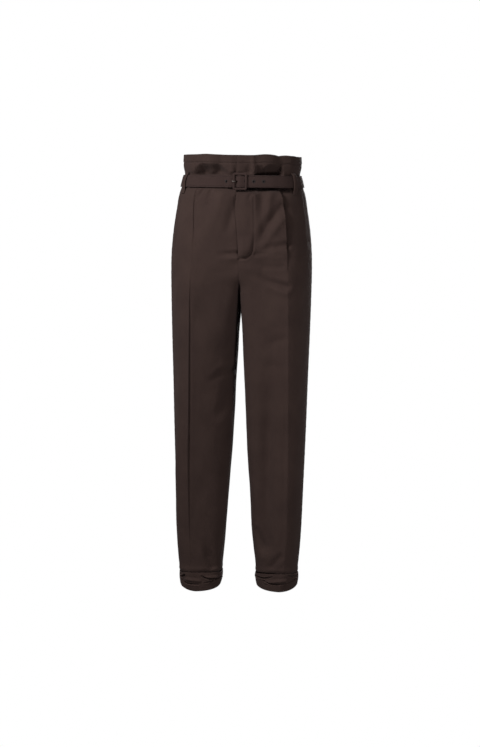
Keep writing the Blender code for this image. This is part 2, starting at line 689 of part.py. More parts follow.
def belt_level(distance):
    """The level of the belt's inner side, which climbs just before the buckle."""
    past = distance - around()
    start, end = BELT_RISE
    climb = eased((past - start) / (end - start))
    puff = eased(1.0 - abs(past - BUCKLE_X) / BELT_PUFF_REACH)
    return BELT_GAP + (free_level() - BELT_GAP) * climb + BELT_PUFF * puff


def add_belt(collection, cutters):
    """One strip: from the middle bar round the body, through the frame and over its start."""
    end = around() + waist_distance("front", BELT_TIP_X)
    rings = []
    for distance in np.linspace(BELT_START, end, round((end - BELT_START) / BELT_STEP) + 1):
        (low, out), (high, _) = (waist_at(distance, z) for z in (-BELT_HEIGHT / 2, BELT_HEIGHT / 2))
        near = belt_level(distance)
        far = near + BELT_THICK
        rings.append([low + out * near, low + out * far, high + out * far, high + out * near])
    belt = add_object("belt", tube_mesh("belt", rings), COVERED, collection)
    for place in HOLES:
        add_hole_cutter(place, HOLE_WIDTH, cutters)
    add_hole_cutter(PRONG_HOLE, PRONG_HOLE_LENGTH, cutters)
    cut = belt.modifiers.new("holes", "BOOLEAN")
    cut.operation = "DIFFERENCE"
    cut.operand_type = "COLLECTION"
    cut.collection = cutters
    cut.solver = "EXACT"


def add_hole_cutter(place, length, cutters):
    """A cutter through the free end only: it starts in the gap under it."""
    point, out = waist_at(place)
    low = belt_level(place + around()) - BELT_GAP / 2
    if place < BELT_RISE[1]:
        low = -BELT_GAP
    high = belt_level(place + around()) + 2 * BELT_THICK
    bm = bmesh.new()
    bmesh.ops.create_cone(
        bm, cap_ends=True, segments=8, radius1=HOLE_WIDTH / 2, radius2=HOLE_WIDTH / 2, depth=high - low
    )
    bmesh.ops.scale(bm, vec=(length / HOLE_WIDTH, 1.0, 1.0), verts=bm.verts)
    mesh = bpy.data.meshes.new("hole_cutter")
    bm.to_mesh(mesh)
    bm.free()
    cutter = bpy.data.objects.new("hole_cutter", mesh)
    cutter.location = point + out * (low + high) / 2
    cutter.rotation_euler = (math.pi / 2, 0.0, math.atan2(out[0], -out[1]))
    cutter.hide_render = True
    cutter.display_type = "WIRE"
    cutters.objects.link(cutter)


def rounded_rectangle(width, height, corner, steps=4):
    points = []
    for turn, (side, end) in enumerate(((1, 1), (-1, 1), (-1, -1), (1, -1))):
        for step in range(steps + 1):
            angle = (turn + step / steps) * math.pi / 2
            x = side * (width / 2 - corner) + corner * math.cos(angle)
            y = end * (height / 2 - corner) + corner * math.sin(angle)
            points.append((x, y))
    return points


def add_buckle(collection, helpers):
    """The covered frame, joined behind its top and bottom to the middle bar's bracket."""
    curve = bpy.data.curves.new("buckle_outline", "CURVE")
    curve.dimensions = "2D"
    curve.fill_mode = "BOTH"
    curve.extrude = BUCKLE_THICK / 2 - BUCKLE_ROUND
    curve.bevel_depth = BUCKLE_ROUND
    curve.bevel_resolution = 1
    curve.offset = -BUCKLE_ROUND
    window = (BUCKLE_WIDTH - 2 * BUCKLE_BAR, BUCKLE_HEIGHT - 2 * BUCKLE_BAR)
    outlines = (
        rounded_rectangle(BUCKLE_WIDTH, BUCKLE_HEIGHT, BUCKLE_CORNER),
        rounded_rectangle(*window, WINDOW_CORNER),
    )
    for outline in outlines:
        spline = curve.splines.new("POLY")
        spline.points.add(len(outline) - 1)
        for point, (x, y) in zip(spline.points, outline):
            point.co = (x, y, 0.0, 1.0)
        spline.use_cyclic_u = True
    shape = bpy.data.objects.new("buckle_outline", curve)
    collection.objects.link(shape)
    graph = bpy.context.evaluated_depsgraph_get()
    mesh = bpy.data.meshes.new_from_object(shape.evaluated_get(graph))
    bpy.data.objects.remove(shape, do_unlink=True)
    bm = bmesh.new()
    bm.from_mesh(mesh)
    bmesh.ops.remove_doubles(bm, verts=bm.verts, dist=1e-6)
    bmesh.ops.recalc_face_normals(bm, faces=bm.faces)
    bm.to_mesh(mesh)
    bm.free()
    mesh.name = "buckle"
    buckle = add_object("buckle", mesh, COVERED, collection)
    waist = section("front", -PRESSED_HEIGHT)
    frame_level = free_level() + BELT_THICK + 2 * BELT_GAP
    buckle.rotation_euler = (math.pi / 2, 0.0, 0.0)
    buckle.location = (BUCKLE_X, -(waist + frame_level + BUCKLE_THICK / 2), 0.0)
    back = waist + BELT_GAP
    bar = waist + free_level() - 2 * BELT_GAP
    deep = waist + frame_level + BUCKLE_THICK / 2
    inner = BELT_HEIGHT / 2 + BRACKET_CLEAR
    outer = BUCKLE_HEIGHT / 2 - BUCKLE_ROUND
    foot = inner + BELT_GAP
    heel = back + BRACKET_FLARE
    profile = (
        (back, -foot), (heel, -outer), (deep, -outer), (deep, -inner), (bar, -inner),
        (bar, inner), (deep, inner), (deep, outer), (heel, outer), (back, foot),
    )
    half = BRACKET_WIDTH / 2
    rings = [[(BUCKLE_X + x, -y, z) for y, z in profile] for x in (-half, half)]
    bracket = bpy.data.objects.new("bracket", tube_mesh("bracket", rings, smooth=False))
    bracket.hide_render = True
    bracket.display_type = "WIRE"
    helpers.objects.link(bracket)
    join = buckle.modifiers.new("bracket", "BOOLEAN")
    join.operation = "UNION"
    join.object = bracket
    join.solver = "EXACT"


def add_prong(collection):
    curve = bpy.data.curves.new("prong", "CURVE")
    curve.dimensions = "3D"
    curve.bevel_depth = PRONG_RADIUS
    curve.bevel_resolution = 1
    curve.use_fill_caps = True
    waist = section("front", -PRESSED_HEIGHT)
    places = np.linspace(PRONG[0].x, PRONG[-1].x, PRONG_STEPS + 1)
    spline = curve.splines.new("POLY")
    spline.points.add(len(places) - 1)
    for point, x in zip(spline.points, places):
        point.co = (x, -(waist + along(PRONG, "x", "level", x)), 0.0, 1.0)
    curve.materials.append(material("prong", DARK_METAL))
    prong = bpy.data.objects.new("prong", curve)
    collection.objects.link(prong)


def surface(face, x, z):
    """A point on the outside of either half at a signed x."""
    half = "left" if x >= 0 else "right"
    point = cloth(f"{face}_{half}", np.array([abs(x)]), np.array([z]))[0]
    return point * np.array([1.0 if x >= 0 else -1.0, 1.0, 1.0])


def add_loop(loop, collection):
    """A flat strip from the cloth over the belt and back to the cloth."""
    point, out = waist_at(waist_distance(loop.face, loop.x))
    tangent = np.array([-out[1], out[0], 0.0])
    over = BELT_GAP + loop.layers * (BELT_THICK + BELT_GAP)

    def cloth_level(z, lean):
        shifts = np.linspace(lean - LOOP_WIDTH / 2, lean + LOOP_WIDTH / 2, 5)
        across = [surface(loop.face, (point + tangent * shift)[0], z) for shift in shifts]
        return max(np.dot(place - point, out) for place in across) + LOOP_CLEAR

    def belt_lean(z):
        return np.dot(waist_at(waist_distance(loop.face, loop.x), z)[0] - point, out)

    path = (
        (LOOP_TOP, cloth_level(LOOP_TOP, loop.lean_top), loop.lean_top),
        (LOOP_SHOULDER, over + belt_lean(LOOP_SHOULDER), SHOULDER_LEAN * loop.lean_top),
        (-LOOP_SHOULDER, over + belt_lean(-LOOP_SHOULDER), SHOULDER_LEAN * loop.lean_bottom),
        (LOOP_BOTTOM, cloth_level(LOOP_BOTTOM, loop.lean_bottom), loop.lean_bottom),
    )
    line = np.array([(level, z) for z, level, _ in path])
    steps = unit(np.diff(line, axis=0))
    turned = np.stack([-steps[:, 1], steps[:, 0]], axis=-1)
    away = unit(np.concatenate([turned[:1], turned[:-1] + turned[1:], turned[-1:]]))
    outer = line + away * LOOP_THICK
    rings = []
    for near, far, (_, _, lean) in zip(line, outer, path):
        corners = ((near, -1), (far, -1), (far, 1), (near, 1))
        rings.append([
            point + out * level + tangent * (lean + side * LOOP_WIDTH / 2) + np.array([0.0, 0.0, z])
            for (level, z), side in corners
        ])
    add_object(loop.name, tube_mesh(loop.name, rings), WOOL, collection)


def main():
    clear_scene()
    trousers = bpy.data.collections.new("paperbag_waist_trousers")
    cutters = bpy.data.collections.new("cutters")
    helpers = bpy.data.collections.new("helpers")
    for collection in (trousers, cutters, helpers):
        bpy.context.scene.collection.children.link(collection)
    for panel in PANELS:
        add_panel(panel, trousers)
    for half in ("left", "right"):
        add_cuff(half, trousers)
    add_belt(trousers, cutters)
    add_buckle(trousers, helpers)
    add_prong(trousers)
    for loop in LOOPS:
        add_loop(loop, trousers)


main()
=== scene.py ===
"""Paperbag waist trousers: the cloth, the sewing and the finishes, over the fixed model.

Metres, +Z up, the front towards -Y and the wearer's left towards +X. The origin is
the centre of the waist at the middle of the belt.
"""

import math
from collections import namedtuple

import bmesh
import bpy
import numpy as np
from bpy.props import FloatProperty, FloatVectorProperty, PointerProperty
from mathutils import Matrix, Vector


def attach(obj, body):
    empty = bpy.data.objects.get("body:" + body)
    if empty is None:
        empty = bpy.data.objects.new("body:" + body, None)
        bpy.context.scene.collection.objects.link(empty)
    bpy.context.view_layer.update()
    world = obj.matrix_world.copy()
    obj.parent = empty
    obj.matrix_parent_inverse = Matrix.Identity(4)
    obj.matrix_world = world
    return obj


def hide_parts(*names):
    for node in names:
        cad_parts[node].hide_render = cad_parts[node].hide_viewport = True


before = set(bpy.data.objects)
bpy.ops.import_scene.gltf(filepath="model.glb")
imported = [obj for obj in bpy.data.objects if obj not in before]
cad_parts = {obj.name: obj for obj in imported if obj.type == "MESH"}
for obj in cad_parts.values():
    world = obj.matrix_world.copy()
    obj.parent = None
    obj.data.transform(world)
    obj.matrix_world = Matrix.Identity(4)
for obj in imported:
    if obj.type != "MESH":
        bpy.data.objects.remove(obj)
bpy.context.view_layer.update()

bl_info = {
    "name": "Paperbag waist trousers",
    "version": (1, 0, 0),
    "blender": (4, 5, 0),
    "location": "View3D > Sidebar > Trousers",
    "description": "Builds the cloth, belt and sewing of a pair of paperbag waist trousers",
    "category": "Object",
}

MM = 0.001


def table(columns, *rows):
    """Rows with named columns, in metres."""
    Row = namedtuple("Row", columns)
    return tuple(Row(*row) for row in rows)


def by_panel(columns, **rows):
    """Rows with named columns for each panel, given in millimetres and kept in metres."""
    Row = namedtuple("Row", columns)
    return {panel: [Row(*(value * MM for value in row)) for row in given] for panel, given in rows.items()}


BODY = "root"
PANELS = ("front_left", "front_right", "back_left", "back_right")

# Belt. A level is a distance out from the cloth; a distance runs round the waist from
# the centre front towards the wearer's left.
BELT_HEIGHT = 0.028
BELT_THICK = 0.0030
BELT_GAP = 0.00035
BELT_START = 0.0034
BELT_RISE = (-0.036, -0.021)
BELT_PUFF = 0.0020
BELT_PUFF_REACH = 0.010
BELT_TIP_X = 0.131
HOLES = (-0.0290, 0.0122, 0.0325, 0.0544)
PRONG_HOLE = -0.0064
HOLE_WIDTH = 0.0036
PRONG_HOLE_LENGTH = 0.0052

# Buckle
BUCKLE_X = 0.0015
BUCKLE_WIDTH = 0.033
BUCKLE_HEIGHT = 0.039
BUCKLE_BAR = 0.0050
BUCKLE_THICK = 0.0030
BUCKLE_CORNER = 0.0045
BRACKET_WIDTH = 0.0030
BRACKET_THICK = 0.0018
BRACKET_BEND = 0.0012

# Belt loops: where each lies, how far its ends lean along the waist, and how many
# thicknesses of belt it holds.
LOOPS = table(
    "name face x lean_top lean_bottom layers",
    ("loop_front_left", "front", 0.1200, 0.0005, 0.0000, 2),
    ("loop_front_right", "front", -0.1265, 0.0050, 0.0020, 1),
    ("loop_back_left", "back", 0.0740, 0.0000, 0.0008, 1),
    ("loop_back_right", "back", -0.0760, -0.0006, 0.0004, 1),
    ("loop_back_middle", "back", 0.0, 0.0, 0.0005, 1),
)
LOOP_WIDTH = 0.0130
LOOP_THICK = 0.0018
LOOP_CLEAR = 0.0004
LOOP_BOW = 0.0016
LOOP_CROWN = 0.0012
LOOP_SHOULDER = 0.0150
SHOULDER_LEAN = 0.6
LOOP_TOP = 0.0200
LOOP_BOTTOM = -0.0290

# Turn-ups: the heights of their upper and lower edges along each panel
CUFF_THICK = 0.0022
CUFF_LIP = 0.0022
SEAM_GAP = 0.0003
HALF_GAP = 0.000002
CUFFS = table(
    "panel top_side top_crease top_inner low_side low_crease low_inner",
    ("front_left", -0.9240, -0.9185, -0.9240, -0.9505, -0.9625, -0.9485),
    ("front_right", -0.9245, -0.9190, -0.9240, -0.9520, -0.9650, -0.9525),
    ("back_left", -0.9240, -0.9215, -0.9240, -0.9505, -0.9545, -0.9485),
    ("back_right", -0.9245, -0.9220, -0.9240, -0.9520, -0.9560, -0.9525),
)
CUFF_POINT = 1.7
CUFF_CLEAR = -0.9165

# A row for each level section of one leg: half width at the side seam, the inner
# edge, how far the cloth stands to the front and back, where the front crease lies,
# how far the section has changed from half a torso to a leg, and how square the torso is.
SECTIONS = table(
    "height side inner front back crease leg torso",
    (0.0635, 0.1367, 0.0000, 0.1030, 0.1030, 0.1040, 0.00, 2.4),
    (0.0340, 0.1374, 0.0000, 0.1005, 0.1010, 0.1020, 0.00, 2.4),
    (0.0152, 0.1343, 0.0000, 0.0995, 0.0995, 0.0975, 0.00, 2.4),
    (-0.0152, 0.1420, 0.0000, 0.0995, 0.1020, 0.0985, 0.00, 2.4),
    (-0.0265, 0.1458, 0.0000, 0.1040, 0.1090, 0.1000, 0.00, 2.5),
    (-0.0665, 0.1528, 0.0000, 0.1110, 0.1250, 0.1045, 0.08, 2.7),
    (-0.1175, 0.1600, 0.0000, 0.1160, 0.1400, 0.1085, 0.25, 2.9),
    (-0.1665, 0.1640, 0.0000, 0.1180, 0.1480, 0.1115, 0.50, 3.0),
    (-0.2115, 0.1650, 0.0000, 0.1175, 0.1440, 0.1135, 0.80, 3.0),
    (-0.2585, 0.1645, 0.00015, 0.1150, 0.1310, 0.1145, 1.00, 3.0),
    (-0.3435, 0.1625, 0.0054, 0.1080, 0.1130, 0.1150, 1.00, 3.0),
    (-0.4575, 0.1590, 0.0112, 0.0985, 0.1000, 0.1150, 1.00, 3.0),
    (-0.5715, 0.1560, 0.0158, 0.0880, 0.0890, 0.1145, 1.00, 3.0),
    (-0.7055, 0.1515, 0.0242, 0.0775, 0.0780, 0.1140, 1.00, 3.0),
    (-0.8595, 0.1450, 0.0355, 0.0645, 0.0650, 0.1110, 1.00, 3.0),
    (-0.9265, 0.1392, 0.0420, 0.0590, 0.0600, 0.1060, 1.00, 3.0),
    (-0.9625, 0.1372, 0.0455, 0.0560, 0.0570, 0.0985, 1.00, 3.0),
)
BACK_INSIDE = 3.2

# How square each leg's front is on its inside
INSIDES = table(
    "height front_left front_right",
    (0.0635, 9.0, 9.0),
    (-0.2115, 9.0, 9.0),
    (-0.2585, 8.0, 8.0),
    (-0.3435, 6.5, 4.2),
    (-0.4575, 5.2, 2.55),
    (-0.5715, 4.6, 2.4),
    (-0.7055, 4.0, 2.3),
    (-0.8595, 3.2, 2.6),
    (-0.9265, 3.0, 3.0),
    (-0.9625, 3.0, 3.0),
)
ROUNDNESS = {"front": 0.90, "back": 0.84}

# How far each front crease lies from the sections' one, towards the side seam.
CREASE_SHIFTS = table(
    "height front_left front_right",
    (0.0635, 0.0, 0.0),
    (-0.0152, -0.0085, 0.0020),
    (-0.0363, -0.0045, 0.0025),
    (-0.0715, -0.0015, 0.0006),
    (-0.1068, -0.0005, -0.0030),
    (-0.1600, 0.0002, -0.0038),
    (-0.2115, 0.0000, -0.0036),
    (-0.3100, 0.0000, -0.0030),
    (-0.5000, 0.0012, -0.0016),
    (-0.6300, 0.0026, 0.0006),
    (-0.7900, 0.0020, 0.0),
    (-0.8900, 0.0012, 0.0),
    (-0.9265, 0.0, 0.0),
    (-0.9650, 0.0, 0.0),
)

# The crotch: the legs part at its height, and the seam above it rises as a U.
CROTCH = -0.2585
CROTCH_RISE = 0.0603
CROTCH_POWER = 3.6

# How far the centre front seam runs to the wearer's right, where the fly laps over.
LAPS = table(
    "height shift",
    (0.0635, 0.0060),
    (-0.0165, 0.0055),
    (-0.0575, 0.0084),
    (-0.1065, 0.0050),
    (-0.1565, 0.0014),
    (-0.2085, 0.0),
    (-0.9625, 0.0),
)

# The height of the header's top edge across each panel.
TOP_EDGE = table(
    "x front_left front_right back_left back_right",
    (0.000, 0.0602, 0.0602, 0.0610, 0.0610),
    (0.031, 0.0601, 0.0603, 0.0625, 0.0595),
    (0.062, 0.0622, 0.0615, 0.0597, 0.0620),
    (0.078, 0.0610, 0.0623, 0.0605, 0.0627),
    (0.099, 0.0571, 0.0613, 0.0620, 0.0603),
    (0.118, 0.0591, 0.0610, 0.0595, 0.0607),
    (0.139, 0.0547, 0.0607, 0.0575, 0.0607),
)

# Soft ridges (depth over 0) and troughs of each panel: a width, then the places (x, z,
# depth) that the fold runs through, in mm. x runs from the centre towards the side on
# both halves.
FOLDS = {
    "front_left": (
        # Under the belt
        (4, (21.6, -39.2, -0.8), (28.8, -24.6, -3), (42.1, -20.2, -2.2)),
        (8.5, (49, -20.2, -3.6), (53, -44.7, -4), (53, -80, -3.6), (56, -115, -2.8)),
        (8, (76, -20.5, 2.6), (64, -51, 2), (48, -96.5, 0.6)),
        # Drawn from the pleat to the crotch
        (9.2, (97, -56, -4.4), (75.7, -84.7, -7.2), (57, -120, -4), (44, -140, -1.6)),
        (8, (96, -90, 1.8), (74, -118, 2), (60, -136, 0.6)),
        (7, (109, -144, -4.2), (74, -149, -3.6), (49, -158, -1.6)),
        (3.6, (38.5, -165.5, -2.2), (63.2, -164, -1)),
        (7, (42, -176, 1), (100, -172, 1.6)),
        (5, (60, -194.8, -1.2), (102, -193.4, -1.6)),
        (6.6, (27.3, -209.5, -0.6), (68.2, -227.1, -2.2), (112, -238.9, -4.4)),
        (7, (65, -243, 0.6), (110, -256, 1.8)),
        # The leg
        (9, (80, -368, -1), (106, -359, -1.6)),
        (15, (73, -430, -3), (71, -560, -8.5), (68, -700, -9), (65, -850, -6)),
        (6, (43, -816.5, -2.2), (56, -848.5, -3), (64, -870, -0.8)),
        (6, (80, -901.5, -2), (102, -876.5, -2.2)),
    ),
    "front_right": (
        # Under the belt
        (3.8, (86, -18.7, -3), (92.1, -29, -3), (99.5, -39.2, -1)),
        (3.6, (65.3, -20.2, -2.4), (70.2, -33.4, -0.8)),
        (5, (78.8, -20.2, 1.4), (77, -45, 1.4)),
        (8.5, (9, -45, -3), (16.5, -76, -4), (26, -110, -2.6)),
        (10, (40, -30, 2), (50, -70, 2.2), (62, -105, 0.6)),
        # At the crotch
        (5.2, (1, -164, -3.6), (22, -165.2, -2.8), (42, -165.5, -0.8)),
        (6, (4, -175, 1.4), (40, -178, 0.6)),
        (11, (10, -196, -2.2), (50, -208, -1)),
        # The leg
        (8, (18, -438, -5.6), (40, -444, -3.6), (64, -462, -1)),
        (9.5, (29, -495, -4), (34.5, -518, -7), (44, -543, -2)),
        (8.5, (77, -848, -1.4), (68, -878, -7), (58, -908, -5)),
    ),
    "back_left": (
        (8, (35, -20.5, -3), (45, -86.5, -0.8)),
        (7.5, (105, -24.5, -2.6), (98, -76.5, -0.8)),
        (9, (20, -211.5, -3.4), (85, -258.5, -2.4), (115, -296.5, -1.4)),
        (8, (18, -238, -2.6), (60, -280, -1.6)),
        (10, (40, -501.5, -3.4), (105, -541.5, -1.4)),
        (8.5, (120, -466.5, -2), (70, -496.5, -2.2)),
        (8, (60, -851.5, -1.8), (90, -901.5, -2.8)),
    ),
    "back_right": (
        (7.5, (42, -20.5, -2.6), (36, -81.5, -1)),
        (8, (98, -22.5, -3), (106, -74.5, -0.8)),
        (8.5, (26, -218.5, -3), (92, -252.5, -2.8)),
        (8.5, (52, -271.5, -2.2), (108, -290.5, -1.2)),
        (10, (110, -488.5, -2.6), (50, -524.5, -3.2)),
        (8.5, (85, -556.5, -1.8), (118, -586.5, -1.2)),
        (8, (95, -861.5, -2), (70, -908.5, -2.6)),
    ),
}

# Broad places where the cloth stands out or falls in: half its width and half its height
SWELLS = by_panel(
    "x z wide high lift",
    front_left=((18, -38, 34, 50, 6), (60, -150, 30, 20, 1.6)),
    front_right=((134, -760, 13, 240, 9.5), (40, -52, 30, 40, 2.4)),
    back_left=((80, -150, 45, 60, 3),),
    back_right=((74, -160, 45, 60, 3.6),),
)

# Upright ridges and troughs of the gathered header, from the belt to the top edge.
GATHERS = by_panel(
    "x foot top width",
    front_left=((22, -9, 0, 10), (31, 5.2, 3, 5), (66, 0, 2.4, 14), (94, 0, -3.4, 10), (118, 2.4, 2.6, 10)),
    front_right=(
        (8.5, -4, 0, 3), (18, 2.2, 1.4, 6), (44, 0, -3.4, 10), (68, 5.6, 1.6, 8.5), (112, 2.2, 1, 7),
    ),
    back_left=(
        (18, 2.4, 3, 10), (40, -4.4, -3, 10), (66, 2.6, 3, 11), (92, -4.6, -2.8, 10), (116, 2.2, 2.4, 9),
    ),
    back_right=(
        (14, 2, 2.8, 9), (36, -4.8, -2.6, 11), (62, 2.8, 3.2, 10), (88, -4, -3.2, 11), (114, 2.4, 2, 10),
    ),
)

# Arched hollows between the belt and the header's stitched top: how far in from each
# end they get deep, how high they reach and how deep they are.
HOLLOWS = by_panel(
    "x0 x1 soft0 soft1 top depth",
    front_left=((42, 100.2, 30, 4, 41.5, 21), (34, 66, 7, 16, 40.5, 11)),
    front_right=((20, 108.5, 34, 20, 42.8, 19),),
)
HOLLOW_FOLD = 0.85

# Knife folds at the creases: the cloth on one side stands proud of the other.
PLEATS = by_panel(
    "root end inner outer",
    front_left=((-15.2, -215, 5.8, -12), (15.2, 48, 0, 3)),
    front_right=((-15.2, -190, -1.2, 1.6), (15.2, 48, 0, 3)),
    back_left=((-15.2, -130, 2.6, -1.8),),
    back_right=((-15.2, -130, 2.6, -1.8),),
)
PLEAT_FADE = 0.4
PLEAT_REACH_IN = 0.020
PLEAT_REACH_OUT = 0.022
PLEAT_CREVICE = 0.0046
PLEAT_BROAD = 0.45
RISER = 0.0007

# Pressed creases: how sharply the cloth is pinched up along them.
PINCHES = table(
    "height front_left front_right back",
    (-0.150, 0.0, 0.0, 0.0),
    (-0.230, 0.0010, 0.0012, 0.0006),
    (-0.300, 0.0024, 0.0036, 0.0012),
    (-0.420, 0.0028, 0.0052, 0.0012),
    (-0.700, 0.0024, 0.0050, 0.0012),
    (-0.830, 0.0012, 0.0016, 0.0008),
    (-0.915, 0.0006, 0.0006, 0.0004),
)
PINCH_OUT = 0.0042
PINCH_TUCK = {"front_left": 0.0, "front_right": 1.20, "back_left": 0.3, "back_right": 0.3}
PINCH_TUCK_REACH = 0.0032
PINCH_IN = {"front_left": 0.0035, "front_right": 0.0075, "back_left": 0.0030, "back_right": 0.0030}

# The J of stitches that holds the fly, in the left front.
FLY_LINE = (
    (0.0318, -0.0200), (0.0331, -0.0392), (0.0350, -0.0900), (0.0354, -0.1258), (0.0330, -0.1530),
    (0.0290, -0.1650), (0.0200, -0.1735), (0.0116, -0.1762), (0.0020, -0.1762),
)
FLY_START = 0.006
FLY_LOW = -0.120
FLY_PUFF = 0.0011
FLY_PUFF_REACH = 0.0045
FLY_SAG = 0.0100
FLY_SAG_REACH = 0.011
FLY_RIM = 0.0010
FLY_RIM_REACH = 0.0030

# Slanted side pockets: the line of the opening's edge on each front.
POCKET_LINE = (
    (0.1395, -0.0240), (0.1449, -0.0510), (0.1499, -0.0818), (0.1530, -0.1185), (0.1580, -0.1596),
)
POCKET_STEP = 0.0011
POCKET_ROLL = 0.0016
POCKET_LIP = 0.0006
POCKET_LIP_REACH = 0.0022
POCKET_START = 0.010

PRESSED_HEIGHT = 0.0152
UNDER_BELT_TOP = 0.0118
UNDER_BELT = {"front_left": 0.0200, "front_right": 0.0020, "back_left": 0.0015, "back_right": 0.0015}
UNDER_BELT_START = 0.0022
UNDER_BELT_REACH = 0.0082
UNDER_BELT_END = 0.122
UNDER_BELT_FADE = 0.012
HOLLOW_FOOT = 0.0105
FOLD_START = 0.008
SIDE_CLEAR = 0.010
HEADER_TOP = 0.0635
STITCH_HEIGHT = 0.0435
SLOPE_STEP = 0.0040

# Dents and rolls of the turn-ups, which stand for soft folds under their edges, in mm
CUFF_FOLDS = {
    "front_left": (
        (1.5, (46, -930.2, -1.4), (65.3, -931, -1.7), (83, -926.2, -0.6)),
        (
            1.5, (63.7, -937, -0.5), (78.2, -942.5, -1.2), (99.6, -944, -0.8), (117.6, -941, -1),
            (133, -935, -1.4),
        ),
        (1.5, (119.9, -923.5, -1), (132.5, -927, -1.8), (137, -930, -1)),
        (3.6, (70, -939, 0.6), (93, -937, 1), (112, -935, 0.6)),
    ),
    "front_right": (
        (1.5, (131.2, -934.6, -1.6), (123, -926.8, -1.6)),
        (1.5, (133.8, -939, -1), (125.3, -944, -1.6), (116.3, -947, -1.2), (92.4, -948, -0.4)),
        (1.5, (85, -927.3, -0.6), (76.8, -932.5, -1.7), (66.3, -935.2, -1.8), (43, -936.2, -1.6)),
        (1.5, (77.9, -944, -0.6), (61.2, -941, -1.4)),
        (3.2, (72, -930, 0.5), (54, -931, 0.9)),
        (3.6, (118, -937, 0.8), (90, -939, 0.6)),
    ),
    "back_left": (
        (1.6, (50, -933, -1.4), (76, -937, -1)),
        (1.6, (90, -940, -0.6), (122, -934, -1.6)),
    ),
    "back_right": (
        (1.6, (56, -940, -1.4), (82, -935, -0.8)),
        (1.6, (100, -933, -0.8), (126, -939, -1.5)),
    ),
}

# Rows of the panels: (from, to, step)
ROWS = (
    (0.0635, 0.0600, 0.0004),
    (0.0600, -0.0110, 0.0016),
    (-0.0110, -0.0230, 0.0008),
    (-0.0230, -0.0450, 0.0016),
    (-0.0450, -0.2600, 0.0027),
    (-0.2600, -0.8980, 0.0042),
    (-0.8980, -0.9260, 0.0012),
    (-0.9260, -0.9545, 0.0040),
)
OUTER_STEPS = 38
INNER_STEPS = 58
CUFF_STEPS = (56, 84)
FINE_ANGLE = math.radians(55)

# Cloth: how its folds swell beside them, its slow unevenness (size, wave, number of
# waves) and the grooves where it is sewn
SHOULDER = 0.22
DRAPE_START = 0.010
DRAPES = ((0.0005, 0.080, 5), (0.0003, 0.045, 5), (0.00012, 0.022, 5))
SEEDS = {"front_left": 11, "front_right": 12, "back_left": 13, "back_right": 14}
BAND_GROOVE = 0.0010
BAND_GROOVE_REACH = 0.0011
BAND_PUFF = 0.0008
FLY_TUCK = 0.0006
FLY_TUCK_REACH = 0.004
FLY_GROOVE = 0.0010
FLY_GROOVE_REACH = 0.0018
PUCKER = 0.00025
PUCKER_WAVES = (0.011, 0.017, 0.029)
PUCKER_REACH = 0.009
PUCKER_SEED = 50
SIDE_GROOVE = 0.0008
SIDE_GROOVE_REACH = 0.0014
CENTRE_GROOVE = 0.0006
CENTRE_GROOVE_REACH = 0.0012
TURNED_STEP = 0.003
CUFF_TUCK = 0.0056
CUFF_ROLL = 0.0013
CUFF_BULGE = 0.0010
CUFF_DEEPEST = 0.0050
CUFF_INSIDE = 0.0014
CUFF_RELIEF = 3.6
CUFF_DRAPE = 0.5
NORMAL_PASSES = 2

# The flat cut of what shows: (width, length) and area in square metres
Cut = namedtuple("Cut", "flat area")

# Belt and buckle in the round
BELT_STEP = 0.0025
BELT_CROWN = 0.0002
BELT_SEED = 21
BELT_RIPPLE = 0.00012
BELT_WAVES = (0.031, 0.047, 0.083)
EDGE_ROW = 0.0030
EDGE_CLEAR = 0.003
EDGE_GROOVE = 0.0006
EDGE_GROOVE_REACH = 0.0007
BUCKLE_SEED = 31
BUCKLE_UNEVEN = 0.00008
BUCKLE_WAVES = (3, 7, 11)
EYELET_RADIUS = 0.0028
EYELET_THREAD = 0.00075
WINDOW_CORNER = 0.0015
BRACKET_CLEAR = 0.0006

# Sewing
STITCH_LIFT = 0.0002
SEAM_CLEAR = 0.002
POCKET_ROW = 0.0055
TACK_PITCH = 0.0009
TACK_LENGTH = TACK_PITCH * 1.3
TACK_ROWS = (1, 2, -2, -3)
TACK_SPAN = 0.84

# Stage
SWEEP_FLOOR = -1.05
SWEEP_BACK = 7.0
SWEEP_BEND = 2.0
AMBIENT = 0.13
LIGHTS = (
    ("key", (-1.19, -1.21, 0.9), (0.0, 0.0, -0.45), 0.5, 34.0),
    ("fill", (0.85, -1.08, -0.42), (0.0, 0.0, -0.55), 0.4, 5.4),
    ("back", (0.5, 2.6, 0.7), (0.0, 0.0, -0.40), 1.2, 60.0),
)
CAMERA_DISTANCE = 4.5
CAMERA_TURN = math.radians(4.0)
CAMERA_HEIGHT = 0.0035
CAMERA_AIM = -0.4515
CAMERA_ROLL = math.radians(0.53)
SENSOR_WIDTH = 36.0
CAMERA_LENS = 1915 / 747 * SENSOR_WIDTH
CAMERA_SHIFT = -0.75 / 747

# Patterns, in metres
GRAIN = "grain"
TWILL_PITCH = 0.0013
FUZZ_SIZE = 0.0012
CLOUD_SIZE = 0.05
RIB_HEIGHT = 0.0004
SCUFF_SIZE = 0.0004
PLY_SIZE = 0.00025

# The colour of the wool's nap
NAP = "#a39a9c"


def eased(value):
    """0 to 1 with no corner at either end."""
    value = np.clip(value, 0.0, 1.0)
    return value * value * (3.0 - 2.0 * value)


def along(rows, column, at):
    """Reads one column of a table on a smooth curve, at any place in its first column."""
    rows = sorted(rows)
    places = np.array([row[0] for row in rows])
    values = np.array([getattr(row, column) for row in rows])
    slopes = np.gradient(values, places)
    at = np.clip(at, places[0], places[-1])
    low = np.clip(np.searchsorted(places, at) - 1, 0, len(places) - 2)
    span = places[low + 1] - places[low]
    t = (at - places[low]) / span
    rise = values[low + 1] - values[low]
    bend0 = slopes[low] * span - rise
    bend1 = rise - slopes[low + 1] * span
    return values[low] + t * rise + t * (1.0 - t) * ((1.0 - t) * bend0 + t * bend1)


